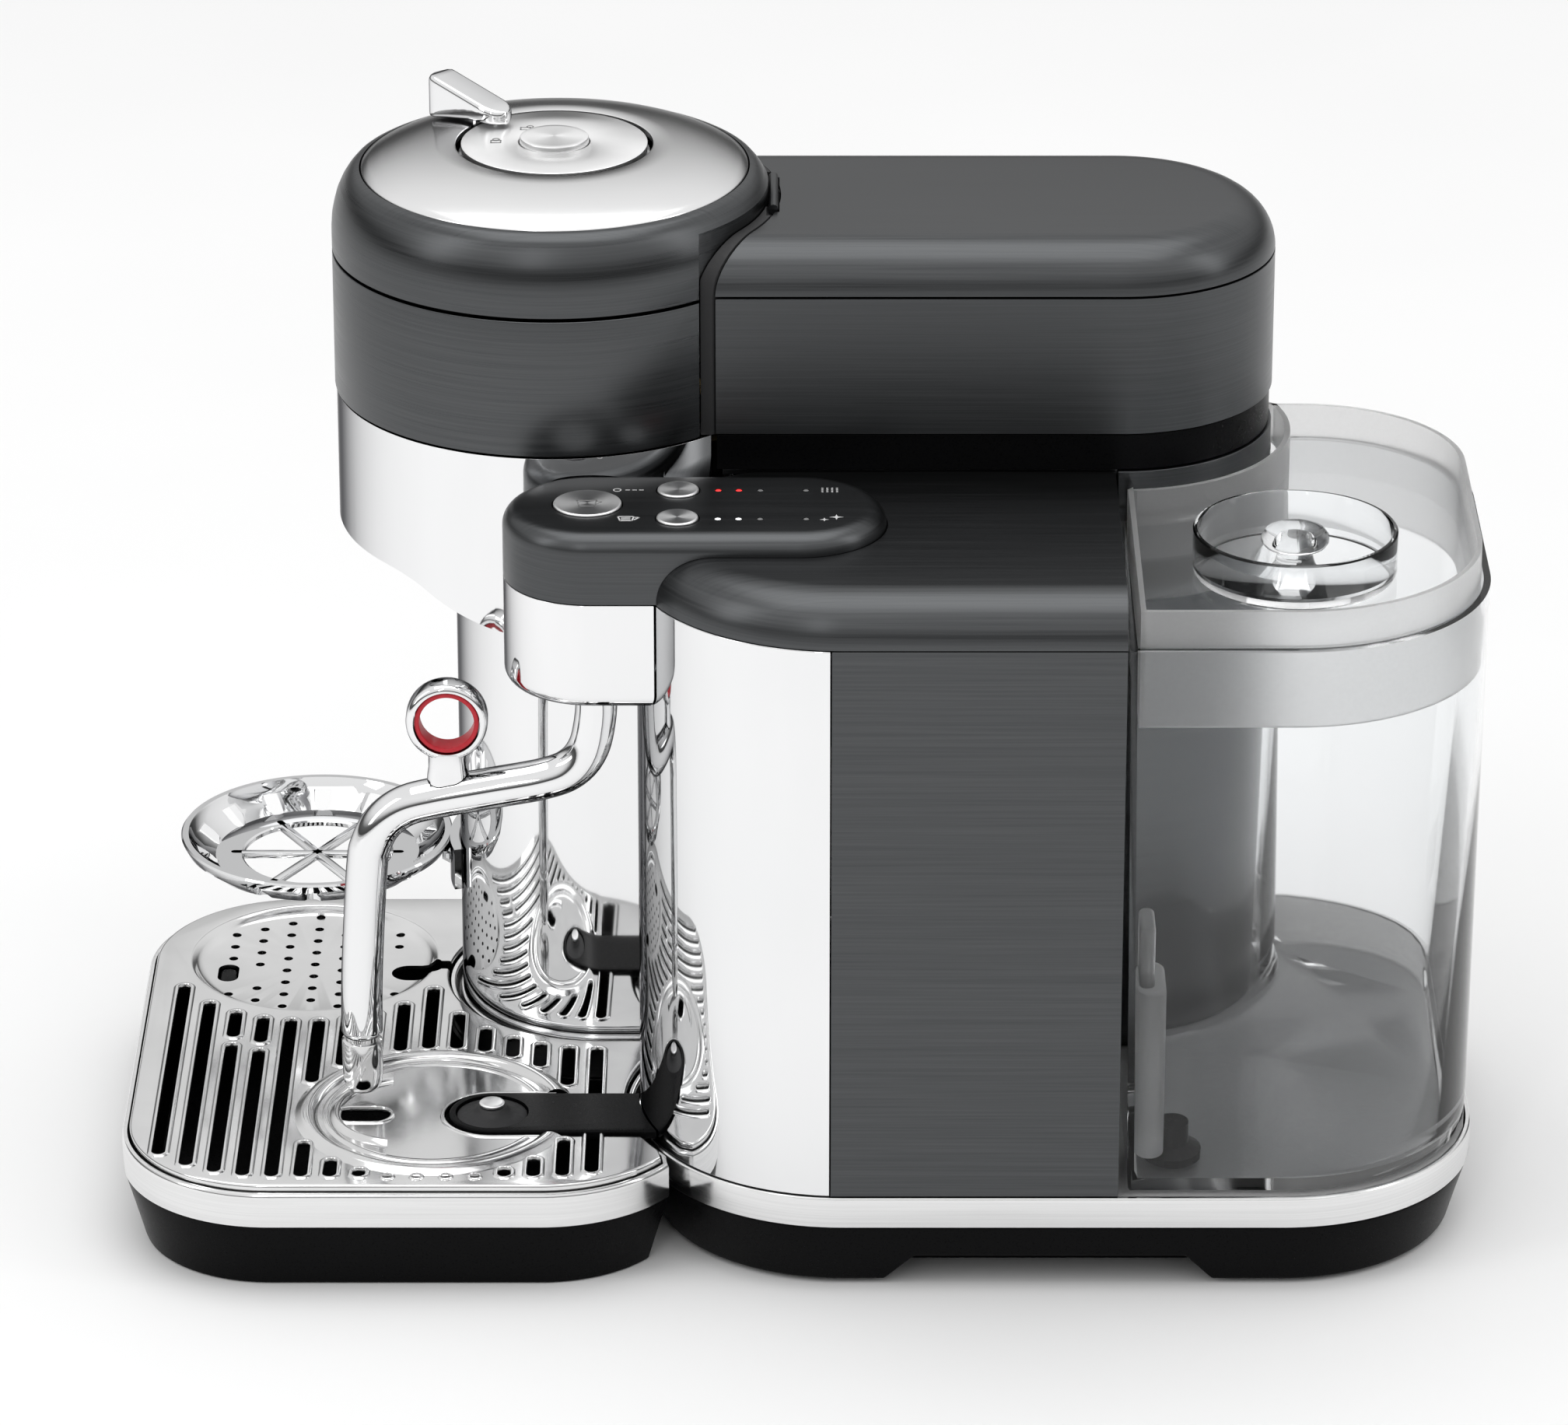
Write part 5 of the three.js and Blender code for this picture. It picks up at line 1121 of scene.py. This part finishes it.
for node, (look, width) in KEPT.items():
    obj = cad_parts[node]
    obj.data.materials.clear()
    obj.data.materials.append(LOOK[look])
    if width:
        bevelled(obj, width)

# ---------- floor, light and surroundings ----------
floor_mesh = bpy.data.meshes.new("floor")
floor_mesh.from_pydata([(-9, -9, 0), (9, -9, 0), (9, 9, 0), (-9, 9, 0)], [], [(0, 1, 2, 3)])
floor = bpy.data.objects.new("floor", floor_mesh)
bpy.context.scene.collection.objects.link(floor)
floor_mesh.materials.append(LOOK["floor_paint"])


def area_light(name, location, size, size_y, power, target=(0, 0, 0.15)):
    data = bpy.data.lights.new(name, "AREA")
    data.shape = "RECTANGLE"
    data.size, data.size_y, data.energy = size, size_y, power
    lamp = bpy.data.objects.new(name, data)
    lamp.location = location
    lamp.rotation_mode = "QUATERNION"
    lamp.rotation_quaternion = (Vector(target) - Vector(location)).to_track_quat("-Z", "Y")
    bpy.context.scene.collection.objects.link(lamp)


area_light("top_soft", (0.0, 0.0, 2.6), 2.6, 2.2, 26)
area_light("left_strip", (-1.9, -0.9, 1.3), 0.5, 1.6, 6)
area_light("centre_strip", (-0.55, -2.3, 1.7), 0.12, 1.5, 3.5)
area_light("right_strip", (2.0, -0.5, 1.2), 0.4, 1.6, 5)


def build_world():
    """Soft studio surroundings: bright above, a dark band at the horizon, light below."""
    world = bpy.data.worlds.new("studio")
    bpy.context.scene.world = world
    world.use_nodes = True
    tree = world.node_tree
    background = tree.nodes["Background"]
    coords = tree.nodes.new("ShaderNodeTexCoord")
    split = tree.nodes.new("ShaderNodeSeparateXYZ")
    tree.links.new(coords.outputs["Generated"], split.inputs["Vector"])
    height = tree.nodes.new("ShaderNodeValToRGB")
    remap = tree.nodes.new("ShaderNodeMapRange")
    remap.inputs["From Min"].default_value, remap.inputs["From Max"].default_value = -1, 1
    tree.links.new(split.outputs["Z"], remap.inputs["Value"])
    tree.links.new(remap.outputs["Result"], height.inputs["Fac"])
    ramp = height.color_ramp
    ramp.elements[0].position, ramp.elements[0].color = 0.0, (0.8, 0.8, 0.8, 1)
    ramp.elements[1].position, ramp.elements[1].color = 1.0, (0.9, 0.9, 0.9, 1)
    for at, value in ((0.5, 0.4), (0.51, 0.06), (0.57, 0.12), (0.64, 0.62), (0.7, 0.86), (0.8, 0.95)):
        element = ramp.elements.new(at)
        element.color = (value, value, value, 1)
    tree.links.new(height.outputs["Color"], background.inputs["Color"])
    background.inputs["Strength"].default_value = 0.95


build_world()
